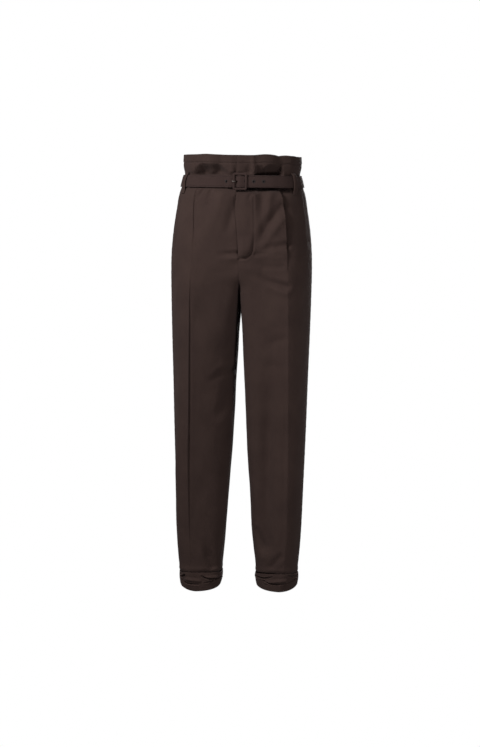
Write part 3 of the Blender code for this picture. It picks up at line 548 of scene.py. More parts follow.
def mirror(name):
    """Turns a panel's own half, where x grows towards the side seam, into the wearer's left or right."""
    return np.array([1.0 if name.endswith("left") else -1.0, 1.0, 1.0])


def unit(vectors):
    return vectors / np.maximum(np.linalg.norm(vectors, axis=-1, keepdims=True), 1e-12)


def section(column, z):
    return along(SECTIONS, column, z)


def inner_edge(z):
    """The section's inner edge: past the centre above the crotch, so the seam clips it."""
    above = np.clip((z - CROTCH) / CROTCH_RISE, 0.0, 1.0) ** CROTCH_POWER
    return np.where(z > CROTCH, HALF_GAP - section("side", z) * above, section("inner", z))


def crease_x(panel, z):
    """The back crease lies as far in from the leg's middle as the front one lies out."""
    front = section("crease", z)
    if panel.startswith("front"):
        return front + along(CREASE_SHIFTS, panel, z)
    middle = (section("side", z) + np.maximum(inner_edge(z), 0.0)) / 2
    return 2 * middle - front


def seam_x(panel, z):
    """Where a panel ends at the centre seam, measured towards its own side."""
    if panel.startswith("back"):
        return HALF_GAP + 0.0 * z
    shift = along(LAPS, "shift", z)
    return HALF_GAP + (shift if panel == "front_right" else -shift)


def plan_depth(panel, x, z):
    """How far the cloth stands from the side seams' plane at x."""
    face = panel.split("_")[0]
    side = section("side", z)
    crease = crease_x(panel, z)
    power = section("torso", z)
    torso = (1.0 - np.clip(np.abs(x) / side, 0.0, 1.0) ** power) ** (1.0 / power)
    out = np.clip((x - crease) / (side - crease), 0.0, 1.0)
    inwards = np.clip((crease - x) / (crease - inner_edge(z)), 0.0, 1.0)
    power = along(INSIDES, panel, z) if face == "front" else BACK_INSIDE
    rounded = np.where(
        x > crease, np.sqrt(1.0 - out**2), (1.0 - inwards**power) ** (1.0 / power)
    )
    flat = 1.0 - np.maximum(out, inwards)
    leg = ROUNDNESS[face] * rounded + (1.0 - ROUNDNESS[face]) * flat
    share = section("leg", z)
    return section(face, z) * ((1.0 - share) * torso + share * leg)


def plan_normal(panel, x, z):
    """The level direction out of the cloth at x."""
    rise = plan_depth(panel, x + SLOPE_STEP, z) - plan_depth(panel, x - SLOPE_STEP, z)
    slope = rise / (2 * SLOPE_STEP)
    out = -np.ones_like(slope) if panel.startswith("front") else np.ones_like(slope)
    normal = np.stack([-slope, out, np.zeros_like(slope)], axis=-1)
    return normal / np.linalg.norm(normal, axis=-1, keepdims=True)


def line_distance(line, x, z):
    """How far each place is from a line of points, and the share of each point's last value there."""
    nearest = np.full(x.shape, 1e9)
    value = np.zeros(x.shape)
    for (x0, z0, *start), (x1, z1, *end) in zip(line, line[1:]):
        run_x, run_z = x1 - x0, z1 - z0
        t = np.clip(((x - x0) * run_x + (z - z0) * run_z) / (run_x**2 + run_z**2), 0.0, 1.0)
        away = np.hypot(x - x0 - t * run_x, z - z0 - t * run_z)
        closer = away < nearest
        nearest = np.where(closer, away, nearest)
        if start:
            value = np.where(closer, start[0] + t * (end[0] - start[0]), value)
    return nearest, value


def fold_profile(away):
    """A soft fold's cross-section, whose cloth swells a little on both sides."""
    return np.exp(-(away**2)) - SHOULDER * np.exp(-(((away - 2.0) / 0.8) ** 2))


def folds_at(folds, panel, x, z):
    total = np.zeros_like(x)
    for width, *line in folds[panel]:
        away, depth = line_distance(np.array(line) * MM, x, z)
        total += depth * fold_profile(away / (width * MM))
    return total


def off_the_belt(z, reach):
    """0 on the cloth under the belt and 1 from a reach above and below it."""
    return eased((np.abs(z) - PRESSED_HEIGHT) / reach)


def above_cuff(z):
    """0 on the cloth under the turn-ups and 1 above them."""
    return eased((z - CUFF_CLEAR) / FOLD_START)


def fold_field(panel, x, z):
    return folds_at(FOLDS, panel, x, z) * off_the_belt(z, FOLD_START) * above_cuff(z)


def swell_field(panel, x, z):
    total = np.zeros_like(x)
    for swell in SWELLS[panel]:
        total += swell.lift * np.exp(-(((x - swell.x) / swell.wide) ** 2) - ((z - swell.z) / swell.high) ** 2)
    return total * off_the_belt(z, 2 * FOLD_START)


def gather_field(panel, x, z):
    total = np.zeros_like(x)
    height = np.clip((z - PRESSED_HEIGHT) / (STITCH_HEIGHT - PRESSED_HEIGHT), 0.0, 1.0)
    for gather in GATHERS[panel]:
        size = gather.foot + height * (gather.top - gather.foot)
        total += size * np.exp(-(((x - gather.x) / gather.width) ** 2))
    return total * eased((z - PRESSED_HEIGHT) / FOLD_START)


def hollow_field(panel, x, z):
    """Under each arch the cloth leans in, down to the belt."""
    total = np.zeros_like(x)
    for hollow in HOLLOWS.get(panel, ()):
        wide = np.minimum(eased((x - hollow.x0) / hollow.soft0), eased((hollow.x1 - x) / hollow.soft1))
        top = PRESSED_HEIGHT + (hollow.top - PRESSED_HEIGHT) * np.sqrt(wide)
        down = np.clip((top - z) / np.maximum(top - PRESSED_HEIGHT, 1e-6), 0.0, 1.0)
        total -= hollow.depth * wide * eased(down / HOLLOW_FOLD) ** 0.7
    return total * eased((z - HOLLOW_FOOT) / (PRESSED_HEIGHT - HOLLOW_FOOT))


def under_belt_field(panel, x, z):
    """The cloth draws in just below the belt's lower edge, most of all beside the fly."""
    down = -UNDER_BELT_TOP - z
    depth = UNDER_BELT[panel] * eased(down / UNDER_BELT_START)
    depth = depth * np.exp(-((np.clip(down, 0.0, 1.0) / UNDER_BELT_REACH) ** 2))
    return -depth * eased((UNDER_BELT_END - x) / UNDER_BELT_FADE)


def pleat_field(panel, x, z):
    total = np.zeros_like(x)
    crease = crease_x(panel, z)
    for pleat in PLEATS[panel]:
        deep = eased(np.abs(z - pleat.root) / FOLD_START)
        share = (z - pleat.root) / (pleat.end - pleat.root)
        fade = 1.0 - eased((share - PLEAT_FADE) / (1.0 - PLEAT_FADE))
        within = (z - pleat.root) * (pleat.end - z) >= 0.0
        inner = pleat.inner * np.exp(-(crease - x) / PLEAT_REACH_IN)
        away = x - crease
        broad, narrow = np.exp(-away / PLEAT_REACH_OUT), np.exp(-away / PLEAT_CREVICE)
        outer = pleat.outer * (PLEAT_BROAD * broad + (1.0 - PLEAT_BROAD) * narrow)
        total += np.where(x < crease, inner, outer) * deep * fade * within
    return total


def pinch_field(panel, x, z):
    """The pressed crease, pinched up into a low sharp ridge."""
    column = panel if panel.startswith("front") else "back"
    height = along(PINCHES, column, z)
    height *= (z < PINCHES[0].height) * above_cuff(z)
    away = x - crease_x(panel, z)
    ridge = height * np.exp(-np.where(away > 0.0, away / PINCH_OUT, -away / PINCH_IN[panel]))
    tuck = PINCH_TUCK[panel] * height * np.exp(-np.clip(-away, 0.0, 1.0) / PINCH_TUCK_REACH) * (away <= 0.0)
    return ridge - tuck


def band_field(z):
    """The groove of the header's stitch line, and the turned hem that fills out above it."""
    above = z - STITCH_HEIGHT
    groove = -BAND_GROOVE * np.exp(-((above / BAND_GROOVE_REACH) ** 2))
    return groove + BAND_PUFF * eased(above / 0.004)


def line_x(line, z):
    """Where a line of (x, z) lies at each height."""
    x, heights = np.array(line)[::-1].T
    return np.interp(z, heights, x)


def fly_field(panel, x, z):
    """The fly's lap: proud inside its J of stitches, which lie in a groove."""
    seam = seam_x(panel, z)
    foot = FLY_LINE[-1][1]
    below_belt = eased((-PRESSED_HEIGHT - z) / FLY_START)
    length = eased((z - foot) / FLY_START) * below_belt
    if panel == "front_right":
        return -FLY_TUCK * np.exp(-np.clip(x - seam, 0.0, 1.0) / FLY_TUCK_REACH) * length
    inside = (x < line_x(FLY_LINE, z)) & (z > foot)
    away, _ = line_distance(FLY_LINE, x, z)
    low = eased((FLY_LOW - z) / 0.040)
    groove = -FLY_GROOVE * (1.0 + 1.2 * low) * np.exp(-((away / FLY_GROOVE_REACH) ** 2))
    puff = FLY_PUFF * (1.0 + 0.8 * low) * (1.0 - np.exp(-away / FLY_PUFF_REACH)) * inside
    puff += FLY_SAG * low * (1.0 - np.exp(-away / FLY_SAG_REACH)) * inside * eased((x - seam + 0.003) / 0.016)
    rim = FLY_RIM * low * np.exp(-(((away - FLY_PUFF_REACH) / FLY_RIM_REACH) ** 2)) * ~inside
    return (groove + rim) * below_belt + puff * length


def pocket_field(panel, x, z):
    """The slanted pocket's edge stands proud of the cloth behind it."""
    if panel.startswith("back"):
        return np.zeros_like(x)
    past = x - line_x(POCKET_LINE, z)
    top, foot = POCKET_LINE[0][1], POCKET_LINE[-1][1]
    length = eased((top - z) / POCKET_START) * eased((z - foot) / (2 * POCKET_START))
    step = -POCKET_STEP * eased(past / POCKET_ROLL)
    lip = POCKET_LIP * np.exp(-(((past + POCKET_ROLL) / POCKET_LIP_REACH) ** 2))
    return (step + lip) * length


def drape_field(panel, x, z):
    """Slow unevenness of cloth that hangs, the same each time."""
    rng = np.random.default_rng(SEEDS[panel])
    total = np.zeros_like(x)
    for size, wave, waves in DRAPES:
        for _ in range(waves):
            slant = rng.uniform(-0.5, 0.5)
            phase = rng.uniform(0.0, 2 * math.pi)
            length = wave * rng.uniform(0.75, 1.3)
            turn = (x * math.cos(slant) + z * math.sin(slant)) * 2 * math.pi / length
            total += size / math.sqrt(waves) * np.sin(turn + phase)
    return total * off_the_belt(z, DRAPE_START) * above_cuff(z)


def pucker_field(panel, x, z):
    """Fine puckers along the side seam and the centre seam, where the stitches draw the cloth in."""
    rng = np.random.default_rng(SEEDS[panel] + PUCKER_SEED)
    total = np.zeros_like(x)
    for edge in (section("side", z), seam_x(panel, z)):
        ripple = sum(np.sin(2 * math.pi * z / wave + rng.uniform(0.0, 6.0)) for wave in PUCKER_WAVES)
        total += PUCKER * ripple / len(PUCKER_WAVES) * np.exp(-np.abs(x - edge) / PUCKER_REACH)
    return total * eased((-PRESSED_HEIGHT - z) / DRAPE_START) * above_cuff(z)


def bare_cloth(panel, x, z):
    """A panel's form before its folds, in its own half: x grows towards the side seam."""
    depth = plan_depth(panel, x, z)
    return np.stack([x, -depth if panel.startswith("front") else depth, z], axis=-1)


def cloth(panel, x, z):
    """Points on the outside of a panel, in its own half."""
    points = bare_cloth(panel, x, z)
    lift = fold_field(panel, x, z) + gather_field(panel, x, z) + drape_field(panel, x, z)
    lift += swell_field(panel, x, z) + under_belt_field(panel, x, z)
    lift += hollow_field(panel, x, z) + pleat_field(panel, x, z) + pinch_field(panel, x, z)
    if panel.startswith("front"):
        lift += fly_field(panel, x, z)
    lift *= eased((section("side", z) - x) / SIDE_CLEAR)
    lift += pocket_field(panel, x, z) * eased((section("side", z) - x) / 0.003)
    lift += band_field(z) + pucker_field(panel, x, z)
    points += plan_normal(panel, x, z) * lift[..., None]
    top = along(TOP_EDGE, panel, np.clip(x, 0.0, TOP_EDGE[-1].x))
    points[..., 2] += (top - HEADER_TOP) * eased((z - PRESSED_HEIGHT) / (HEADER_TOP - PRESSED_HEIGHT))
    return points


def columns(outer_steps, inner_steps):
    """Places across a panel: 0 at the side seam, 1 on both sides of the crease, 2 at its end."""
    outer = np.linspace(0.0, 1.0, outer_steps + 1)
    return np.concatenate([outer, np.linspace(1.0 + 1e-9, 2.0, inner_steps + 1)])


def column_x(panel, place, z):
    crease = crease_x(panel, z)
    inner = inner_edge(z)
    end = np.maximum(inner, seam_x(panel, z))
    outer_x = crease + RISER + (section("side", z) - crease - RISER) * np.cos(math.pi / 2 * place)
    span = crease - RISER - inner
    reach = np.arcsin(np.clip((crease - RISER - end) / span, 0.0, 1.0))
    inner_x = crease - RISER - span * np.sin(reach * (place - 1.0))
    return np.where(place <= 1.0, outer_x, np.maximum(inner_x, end))


def cuff_edge(panel, edge, place):
    """The height of the turn-up's upper (top) or lower (low) edge at a place along a panel."""
    row = next(row for row in CUFFS if row.panel == panel)
    side, crease, inner = (getattr(row, f"{edge}_{at}") for at in ("side", "crease", "inner"))
    end = np.where(place < 1.0, side, inner)
    return end + (crease - end) * (1.0 - np.abs(place - 1.0) ** CUFF_POINT)


def grid_normals(points, front):
    """Normals that point out of the cloth, which weigh the steps on both sides alike."""
    across = np.zeros_like(points)
    steps = unit(np.diff(points, axis=1))
    across[:, :-1] += steps
    across[:, 1:] += steps
    down = np.zeros_like(points)
    steps = unit(np.diff(points, axis=0))
    down[:-1] += steps
    down[1:] += steps
    normals = unit(np.cross(across, down))
    return normals if front else -normals


def lengths_along(points, axis):
    """How far each point of a grid is from its first, along the grid's rows or columns."""
    steps = np.linalg.norm(np.diff(points, axis=axis), axis=-1)
    start = np.zeros_like(np.take(steps, [0], axis=axis))
    return np.cumsum(np.concatenate([start, steps], axis=axis), axis=axis)


def row_heights(panel, places):
    """The heights of a panel's rows, the last few of which follow the turn-up's lower edge."""
    heights = np.concatenate([np.arange(start, end, -step) for start, end, step in ROWS])
    z = np.repeat(heights[:, None], len(places), axis=1)
    low = cuff_edge(panel, "low", places) + CUFF_LIP + SEAM_GAP
    last = heights[-1] + (low - heights[-1]) * np.linspace(0.25, 1.0, 4)[:, None]
    return np.concatenate([z, last])


def rolled(distance, radius):
    """How far a folded edge curves back at a distance from its end."""
    short = radius - np.clip(distance, 0.0, radius)
    return radius - np.sqrt(radius**2 - short**2)


def hem_tuck(panel, x, z, across, places):
    """How far the leg draws in behind its turn-up. It does so later at the crease, and rolls out above."""
    top = cuff_edge(panel, "top", places)
    hem = cuff_edge(panel, "low", places) + CUFF_LIP
    at_ends = 0.20 + 0.80 * eased((np.abs(x - crease_x(panel, z)) - 0.012) / 0.022)
    tuck = at_ends * eased((top + 0.0030 - z) / 0.0040) + (1.0 - at_ends) * eased((top - 0.0006 - z) / 0.0030)
    drawn = CUFF_TUCK * tuck * eased((z - hem) / 0.0080) * eased(across / 0.008)
    return drawn - CUFF_ROLL * np.exp(-(((z - top - 0.0080) / 0.0055) ** 2)) * eased(across / 0.006)


def panel_walls(panel, cloth_thick, hem_thick):
    """The outer and inner points of a panel and where they lie on the flat cloth."""
    front = panel.startswith("front")
    places = columns(OUTER_STEPS, INNER_STEPS)
    z = row_heights(panel, places)
    x = column_x(panel, np.broadcast_to(places, z.shape), z)
    outer = cloth(panel, x, z)
    normals = grid_normals(outer, front)
    for _ in range(NORMAL_PASSES):
        beside = normals[:-2, 1:-1] + normals[2:, 1:-1] + normals[1:-1, :-2] + normals[1:-1, 2:]
        normals[1:-1, 1:-1] = unit(normals[1:-1, 1:-1] * 2 + beside)
    normals[:, 0, 1] = 0.0
    parted = z[:, -1] <= CROTCH + 1e-6
    normals[parted, -1, 1] = 0.0
    normals[~parted, -1, 0] = 0.0
    normals = unit(normals)
    across = lengths_along(outer, 1)
    from_centre = across[:, -1:] - across
    sunk = SIDE_GROOVE * np.exp(-((across / SIDE_GROOVE_REACH) ** 2))
    sunk += CENTRE_GROOVE * np.exp(-((from_centre / CENTRE_GROOVE_REACH) ** 2))
    sunk += hem_tuck(panel, x, z, across, places)
    sunk += rolled(HEADER_TOP - z + 1e-5, hem_thick / 2)
    thick = cloth_thick + (hem_thick - cloth_thick) * eased((z - STITCH_HEIGHT) / TURNED_STEP)
    thick -= 2 * rolled(HEADER_TOP - z + 1e-5, hem_thick / 2)
    outer = outer - normals * sunk[..., None]
    inner = outer - normals * thick[..., None]
    outwards = -1.0 if front else 1.0
    for points in (outer, inner):
        points[..., 0] = np.maximum(points[..., 0], seam_x(panel, points[..., 2]))
        points[..., 1] = outwards * np.maximum(outwards * points[..., 1], HALF_GAP)
        points[:, 0, 1] = outwards * HALF_GAP
        points[parted, -1, 1] = outwards * HALF_GAP
    across = across - across[:, [OUTER_STEPS]]
    grain = np.stack([across, -lengths_along(outer, 0)], axis=-1)
    return outer, inner, grain


def solid_mesh(name, vertices, faces, grain=None):
    """A closed mesh of quads whose faces are turned outwards, with the cloth's grain as its UV map."""
    corners = vertices[faces]
    cross = np.cross(corners[:, 1] - corners[:, 0], corners[:, 2] - corners[:, 0])
    cross2 = np.cross(corners[:, 2] - corners[:, 0], corners[:, 3] - corners[:, 0])
    if (corners[:, 0] * (cross + cross2)).sum() < 0.0:
        faces = faces[:, ::-1]
    mesh = bpy.data.meshes.new(name)
    mesh.from_pydata(vertices.tolist(), [], faces.tolist())
    if grain is not None:
        layer = mesh.uv_layers.new(name=GRAIN)
        layer.data.foreach_set("uv", grain[faces.ravel()].astype(np.float32).ravel())
    mesh.shade_smooth()
    mesh.set_sharp_from_angle(angle=FINE_ANGLE)
    return mesh


def grid_quads(rows, count, closed=False):
    """Faces between the rows of a grid, which may close round on itself."""
    index = np.arange(rows * count).reshape(rows, count)
    if closed:
        index = np.concatenate([index, index[:, :1]], axis=1)
    return np.stack([index[:-1, :-1], index[:-1, 1:], index[1:, 1:], index[1:, :-1]], axis=-1).reshape(-1, 4)


def two_walls(outer, inner, grain):
    """Vertices, faces and grain of a sheet with an outer and an inner wall and a rim."""
    rows, count = outer.shape[:2]
    near = grid_quads(rows, count)
    index = np.arange(rows * count).reshape(rows, count)
    edge = np.concatenate([index[0, :-1], index[:-1, -1], index[-1, :0:-1], index[:0:-1, 0]])
    ahead = np.roll(edge, -1)
    total = rows * count
    rim = np.stack([ahead, edge, edge + total, ahead + total], axis=-1)
    faces = np.concatenate([near, near[:, ::-1] + total, rim])
    vertices = np.concatenate([outer.reshape(-1, 3), inner.reshape(-1, 3)])
    flat = grain.reshape(-1, 2)
    return vertices, faces, np.concatenate([flat, flat])


def tube(rings, closed):
    """Vertices and faces of a tube of rings, whose ends are closed with fans unless it joins up."""
    rings = np.asarray(rings)
    count, around_it = rings.shape[:2]
    if closed:
        rings = np.concatenate([rings, rings[:1]])
        faces = grid_quads(count + 1, around_it, closed=True) % (count * around_it)
        return rings[:-1].reshape(-1, 3), faces
    faces = grid_quads(count, around_it, closed=True)
    caps = []
    for ring, turn in ((0, 1), (count - 1, -1)):
        first = ring * around_it
        half = around_it // 2
        quads = [
            (first + i, first + i + 1, first + around_it - 2 - i, first + around_it - 1 - i)
            for i in range(half - 1)
        ]
        caps.append(np.array(quads)[:, ::-turn])
    return rings.reshape(-1, 3), np.concatenate([faces, *caps])


def tube_mesh(name, rings, closed=False, across=False):
    """A tube of rings, whose grain runs along it or across it."""
    vertices, faces = tube(rings, closed)
    grain = [lengths_along(rings, axis) for axis in ((1, 0) if across else (0, 1))]
    return solid_mesh(name, vertices, faces, np.stack(grain, axis=-1).reshape(-1, 2))


def linear(hex_colour):
    """An sRGB hex colour as linear light."""
    parts = np.array([int(hex_colour[i:i + 2], 16) for i in (1, 3, 5)]) / 255
    return tuple(np.where(parts <= 0.04045, parts / 12.92, ((parts + 0.055) / 1.055) ** 2.4))


def node(tree, kind, inputs=None, **settings):
    """Adds a node with its settings. Its inputs are set, or linked to a socket or a node's first output."""
    made = tree.nodes.new(kind)
    for name, value in settings.items():
        setattr(made, name, value)
    for name, value in (inputs or {}).items():
        if isinstance(value, bpy.types.Node):
            value = value.outputs[0]
        if isinstance(value, bpy.types.NodeSocket):
            tree.links.new(value, made.inputs[name])
        else:
            made.inputs[name].default_value = value
    return made


def new_material(name):
    made = bpy.data.materials.new(name)
    made.use_nodes = True
    made.node_tree.nodes.clear()
    return made, made.node_tree


def shaded(made, inputs, kind="ShaderNodeBsdfPrincipled"):
    """Ends a material's nodes in its shader."""
    shader = node(made.node_tree, kind, inputs)
    node(made.node_tree, "ShaderNodeOutputMaterial", {"Surface": shader})
    return made


def noise(tree, scale, detail):
    """Noise that is fixed to the object, at a number of spots to the metre."""
    place = node(tree, "ShaderNodeTexCoord").outputs["Object"]
    inputs = {"Vector": place, "Scale": scale, "Detail": detail}
    return node(tree, "ShaderNodeTexNoise", inputs).outputs["Fac"]


def mixed(tree, share, low, high):
    """A colour between two, by a share of the second."""
    return node(
        tree, "ShaderNodeMix", {0: share, 6: (*low, 1.0), 7: (*high, 1.0)}, data_type="RGBA"
    ).outputs[2]


def cloth_material(name, dark, light, sheen):
    """Worsted wool, woven as a fine twill and pressed: matte, with a soft bloom at grazing angles.

    The ribs are 0.5 mm apart on the real cloth, and are drawn 1.3 mm apart here to show.
    """
    made, tree = new_material(name)
    grain = node(tree, "ShaderNodeUVMap", uv_map=GRAIN).outputs["UV"]
    scale = 2 * math.pi / 10 / TWILL_PITCH
    ribs = node(
        tree, "ShaderNodeTexWave",
        {"Vector": grain, "Scale": scale, "Distortion": 1.2, "Detail": 1.0, "Detail Scale": 2.0},
        wave_type="BANDS", bands_direction="DIAGONAL",
    ).outputs["Fac"]
    fuzz, clouds = noise(tree, 1 / FUZZ_SIZE, 2.0), noise(tree, 1 / CLOUD_SIZE, 2.0)
    weave = node(tree, "ShaderNodeMath", {0: ribs, 1: fuzz}, operation="ADD")
    tone = node(tree, "ShaderNodeMath", {0: weave, 1: 0.5, 2: clouds}, operation="MULTIPLY_ADD")
    share = node(
        tree, "ShaderNodeMapRange",
        {"Value": tone, "From Min": 0.40, "From Max": 1.60, "To Min": 0.0, "To Max": 1.0},
    )
    bump = node(tree, "ShaderNodeBump", {"Height": weave, "Strength": 0.35, "Distance": RIB_HEIGHT})
    return shaded(made, {
        "Base Color": mixed(tree, share, dark, light), "Normal": bump, "Roughness": 0.92,
        "Specular IOR Level": 0.22, "Sheen Weight": sheen, "Sheen Roughness": 0.45,
        "Sheen Tint": (*linear(NAP), 1.0),
    })


def metal_material(name, colour):
    """Satin steel: a soft bright glint, with faint scuffs."""
    made, tree = new_material(name)
    scuffs = noise(tree, 1 / SCUFF_SIZE, 3.0)
    rough = node(tree, "ShaderNodeMapRange", {"Value": scuffs, "To Min": 0.26, "To Max": 0.42})
    return shaded(made, {"Base Color": (*colour, 1.0), "Metallic": 1.0, "Roughness": rough})


def thread_material(name, colour):
    """Polyester sewing thread: a little brighter and glossier than the wool it is sewn through."""
    made, tree = new_material(name)
    low, high = ([shade * part for part in colour] for shade in (0.75, 1.25))
    plies = mixed(tree, noise(tree, 1 / PLY_SIZE, 1.0), low, high)
    return shaded(made, {"Base Color": plies, "Roughness": 0.6, "Specular IOR Level": 0.4})


def material(name):
    """One of the finishes, made when it is first needed."""
    found = bpy.data.materials.get(name)
    if found:
        return found
    looks = bpy.context.scene.trousers_looks
    if name == "worsted_wool":
        return cloth_material(name, looks.wool_dark[:], looks.wool_light[:], looks.bloom)
    # The belt's and buckle's wool is the trousers' wool a little darker: painted shade.
    if name == "covered_wool":
        return cloth_material(name, looks.belt_shaded_dark[:], looks.belt_shaded_light[:], looks.bloom)
    if name == "sewing_thread":
        return thread_material(name, looks.thread[:])
    # The near-black edging colour is partly painted shade in the belt's holes.
    if name == "buttonhole_thread":
        return thread_material(name, looks.edging_hole_shade[:])
    return metal_material(name, looks.metal[:])


def placed(name, data):
    """Puts an object in the scene."""
    made = bpy.data.objects.new(name, data)
    bpy.context.scene.collection.objects.link(made)
    return made


def add_piece(name, mesh, finish, nodes=()):
    """Puts a mesh in the scene as a piece of the trousers that stands for some of the model's nodes."""
    mesh.materials.clear()
    mesh.materials.append(material(finish))
    piece = placed(name, mesh)
    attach(piece, BODY)
    if nodes:
        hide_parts(*nodes)
    return piece


def add_panel(panel, sizes):
    outer, inner, grain = panel_walls(panel, sizes.cloth, sizes.hem)
    turned = mirror(panel)
    vertices, faces, flat = two_walls(outer * turned, inner * turned, grain * turned[:2])
    mesh = solid_mesh(panel, vertices, faces, flat)
    piece = add_piece(f"cloth_{panel}", mesh, "worsted_wool", [panel])


def cuff_section():
    """The turn-up's section: (share of the way down, height over that, level, on the outside)."""
    radius = CUFF_THICK / 2
    middle = SEAM_GAP + radius
    points = []
    for turn in np.linspace(math.pi, 0.0, 5)[:-1]:
        points.append((0.0, radius * (math.sin(turn) - 1.0), middle + radius * math.cos(turn), 0.0))
    outside = SEAM_GAP + CUFF_THICK
    for share in np.linspace(0.0, 1.0, 56):
        over = -radius * (1.0 - share) + CUFF_LIP * share
        points.append((share, over, outside + CUFF_BULGE * math.sin(math.pi * share), 1.0))
    for turn in np.linspace(0.0, math.pi / 2, 4)[1:]:
        over, level = CUFF_LIP * (1.0 - math.sin(turn)), outside - CUFF_LIP * (1.0 - math.cos(turn))
        points.append((1.0, over, level, 0.0))
    points += [(1.0, over, level, 0.0) for over, level in (
        (0.0, -CUFF_INSIDE * 0.5), (0.0, -CUFF_INSIDE), (CUFF_LIP, -CUFF_INSIDE),
    )]
    points += [(share, CUFF_LIP * share, SEAM_GAP, 2.0) for share in np.linspace(1.0, 0.03, 40)]
    return points


def add_cuff(half):
    """The turn-up: a ring round the hem whose lip closes it below the leg's edge."""
    places = columns(*CUFF_STEPS)
    rings = []
    for face, order in (("front", slice(None)), ("back", slice(None, None, -1))):
        panel = f"{face}_{half}"
        top = cuff_edge(panel, "top", places)
        low = cuff_edge(panel, "low", places)
        profile = []
        for down, over, level, outside in cuff_section():
            z = top + down * (low - top) + over
            x = column_x(panel, places, z)
            normal = plan_normal(panel, x, z)
            normal[0, 1] = 0.0
            normal[-1, 1] = 0.0
            relief = CUFF_RELIEF * folds_at(CUFF_FOLDS, panel, x, z)
            relief = relief + drape_field(panel, 1.7 * x, z + 3.0) * CUFF_DRAPE
            relief *= min(outside, 1.0) * math.sin(math.pi * min(down * 1.02, 1.0)) ** 0.4
            relief = np.maximum(relief * eased((section("side", z) - x) / 0.003), -CUFF_DEEPEST)
            if outside == 2.0:
                relief = np.minimum(relief, 0.0)
            reach = (level + relief)[:, None] if outside else np.full((len(x), 1), level)
            profile.append(bare_cloth(panel, x, z) + unit(normal) * reach)
        ring = np.stack(profile, axis=1)[order]
        rings.extend(ring if face == "front" else ring[1:-1])
    mesh = tube_mesh(f"turn_up_{half}", np.array(rings) * mirror(half), closed=True)
    piece = add_piece(f"turn_up_{half}", mesh, "worsted_wool", [f"cuff_{half}"])


def waist_line(z=0.0, samples=1440):
    """The cloth's points under the belt at one height, all the way round from the centre front."""
    turn = np.linspace(0.0, 2 * math.pi, samples + 1)
    share = (z + PRESSED_HEIGHT) / (2 * PRESSED_HEIGHT)
    sizes = {}
    for name in ("side", "front", "back"):
        low, high = section(name, -PRESSED_HEIGHT), section(name, PRESSED_HEIGHT)
        sizes[name] = low + share * (high - low)
    depth = np.where(np.cos(turn) > 0, sizes["front"], sizes["back"])
    power = 2.0 / section("torso", -PRESSED_HEIGHT)
    x = np.sign(np.sin(turn)) * np.abs(np.sin(turn)) ** power
    y = -np.sign(np.cos(turn)) * np.abs(np.cos(turn)) ** power
    return np.stack([sizes["side"] * x, depth * y, np.full_like(turn, z)], axis=-1)


def waist_distances():
    steps = np.linalg.norm(np.diff(waist_line(), axis=0), axis=1)
    return np.concatenate([[0.0], np.cumsum(steps)])


def waist_at(distance, z=0.0):
    """Points on the cloth under the belt at a height, and the level directions out of them."""
    distances = waist_distances()
    distance = np.mod(distance, distances[-1])
    points = waist_line(z)
    point = np.stack([np.interp(distance, distances, points[:, axis]) for axis in range(3)], axis=-1)
    ahead = np.gradient(waist_line(), axis=0)
    tangent = unit(np.stack([np.interp(distance, distances, ahead[:, axis]) for axis in range(3)], axis=-1))
    return point, np.stack([tangent[..., 1], -tangent[..., 0], 0.0 * tangent[..., 0]], axis=-1)


def waist_distance(face, x):
    points = waist_line()
    front = points[:, 1] < 0
    near = front if face == "front" else ~front
    return waist_distances()[near][np.argmin(np.abs(points[near, 0] - x))]


def around():
    return waist_distances()[-1]


def free_level():
    """The level of the belt's inner side where it lies over its own fixed end."""
    return 2 * BELT_GAP + BELT_THICK


def belt_level(distance):
    """The level of the belt's inner side, which climbs just before the buckle."""
    past = distance - around()
    start, end = BELT_RISE
    climb = eased((past - start) / (end - start))
    puff = eased(1.0 - np.abs(past - BUCKLE_X) / BELT_PUFF_REACH)
    return BELT_GAP + (free_level() - BELT_GAP) * climb + BELT_PUFF * puff


def belt_end():
    return around() + waist_distance("front", BELT_TIP_X)


def belt_section():
    """The strip's section as (height, level): half-round edges, and a groove along each row of stitches."""
    half, radius = BELT_HEIGHT / 2, BELT_THICK / 2
    points = []
    for z in np.linspace(-half + radius, half - radius, 33):
        groove = EDGE_GROOVE * math.exp(-(((half - EDGE_ROW - abs(z)) / EDGE_GROOVE_REACH) ** 2))
        points.append((z, BELT_THICK - groove + BELT_CROWN * (1.0 - (z / half) ** 2)))
    for turn in np.linspace(0.0, math.pi, 7)[1:-1]:
        points.append((half - radius + radius * math.sin(turn), radius * (1.0 + math.cos(turn))))
    for z in np.linspace(half - radius, -half + radius, 5):
        points.append((z, 0.0))
    for turn in np.linspace(0.0, math.pi, 7)[1:-1]:
        points.append((-half + radius - radius * math.sin(turn), radius * (1.0 - math.cos(turn))))
    return points


def hole_cutter(place, length):
    """A cutter through the belt's free end only: it starts in the gap under it."""
    point, out = waist_at(place)
    low = belt_level(place + around()) - BELT_GAP / 2
    if place < BELT_RISE[1]:
        low = -BELT_GAP
    high = belt_level(place + around()) + 2 * BELT_THICK
    bm = bmesh.new()
    bmesh.ops.create_cone(
        bm, cap_ends=True, segments=24, radius1=HOLE_WIDTH / 2, radius2=HOLE_WIDTH / 2, depth=high - low
    )
    bmesh.ops.scale(bm, vec=(length / HOLE_WIDTH, 1.0, 1.0), verts=bm.verts)
    turn = Matrix.Rotation(math.atan2(out[0], -out[1]), 4, "Z") @ Matrix.Rotation(math.pi / 2, 4, "X")
    bmesh.ops.transform(bm, matrix=Matrix.Translation(point + out * (low + high) / 2) @ turn, verts=bm.verts)
    mesh = bpy.data.meshes.new("hole_cutter")
    bm.to_mesh(mesh)
    bm.free()
    return mesh


def baked(obj):
    """The mesh of an object with its modifiers, which then goes."""
    graph = bpy.context.evaluated_depsgraph_get()
    mesh = bpy.data.meshes.new_from_object(obj.evaluated_get(graph), depsgraph=graph)
    bpy.data.objects.remove(obj, do_unlink=True)
    return mesh


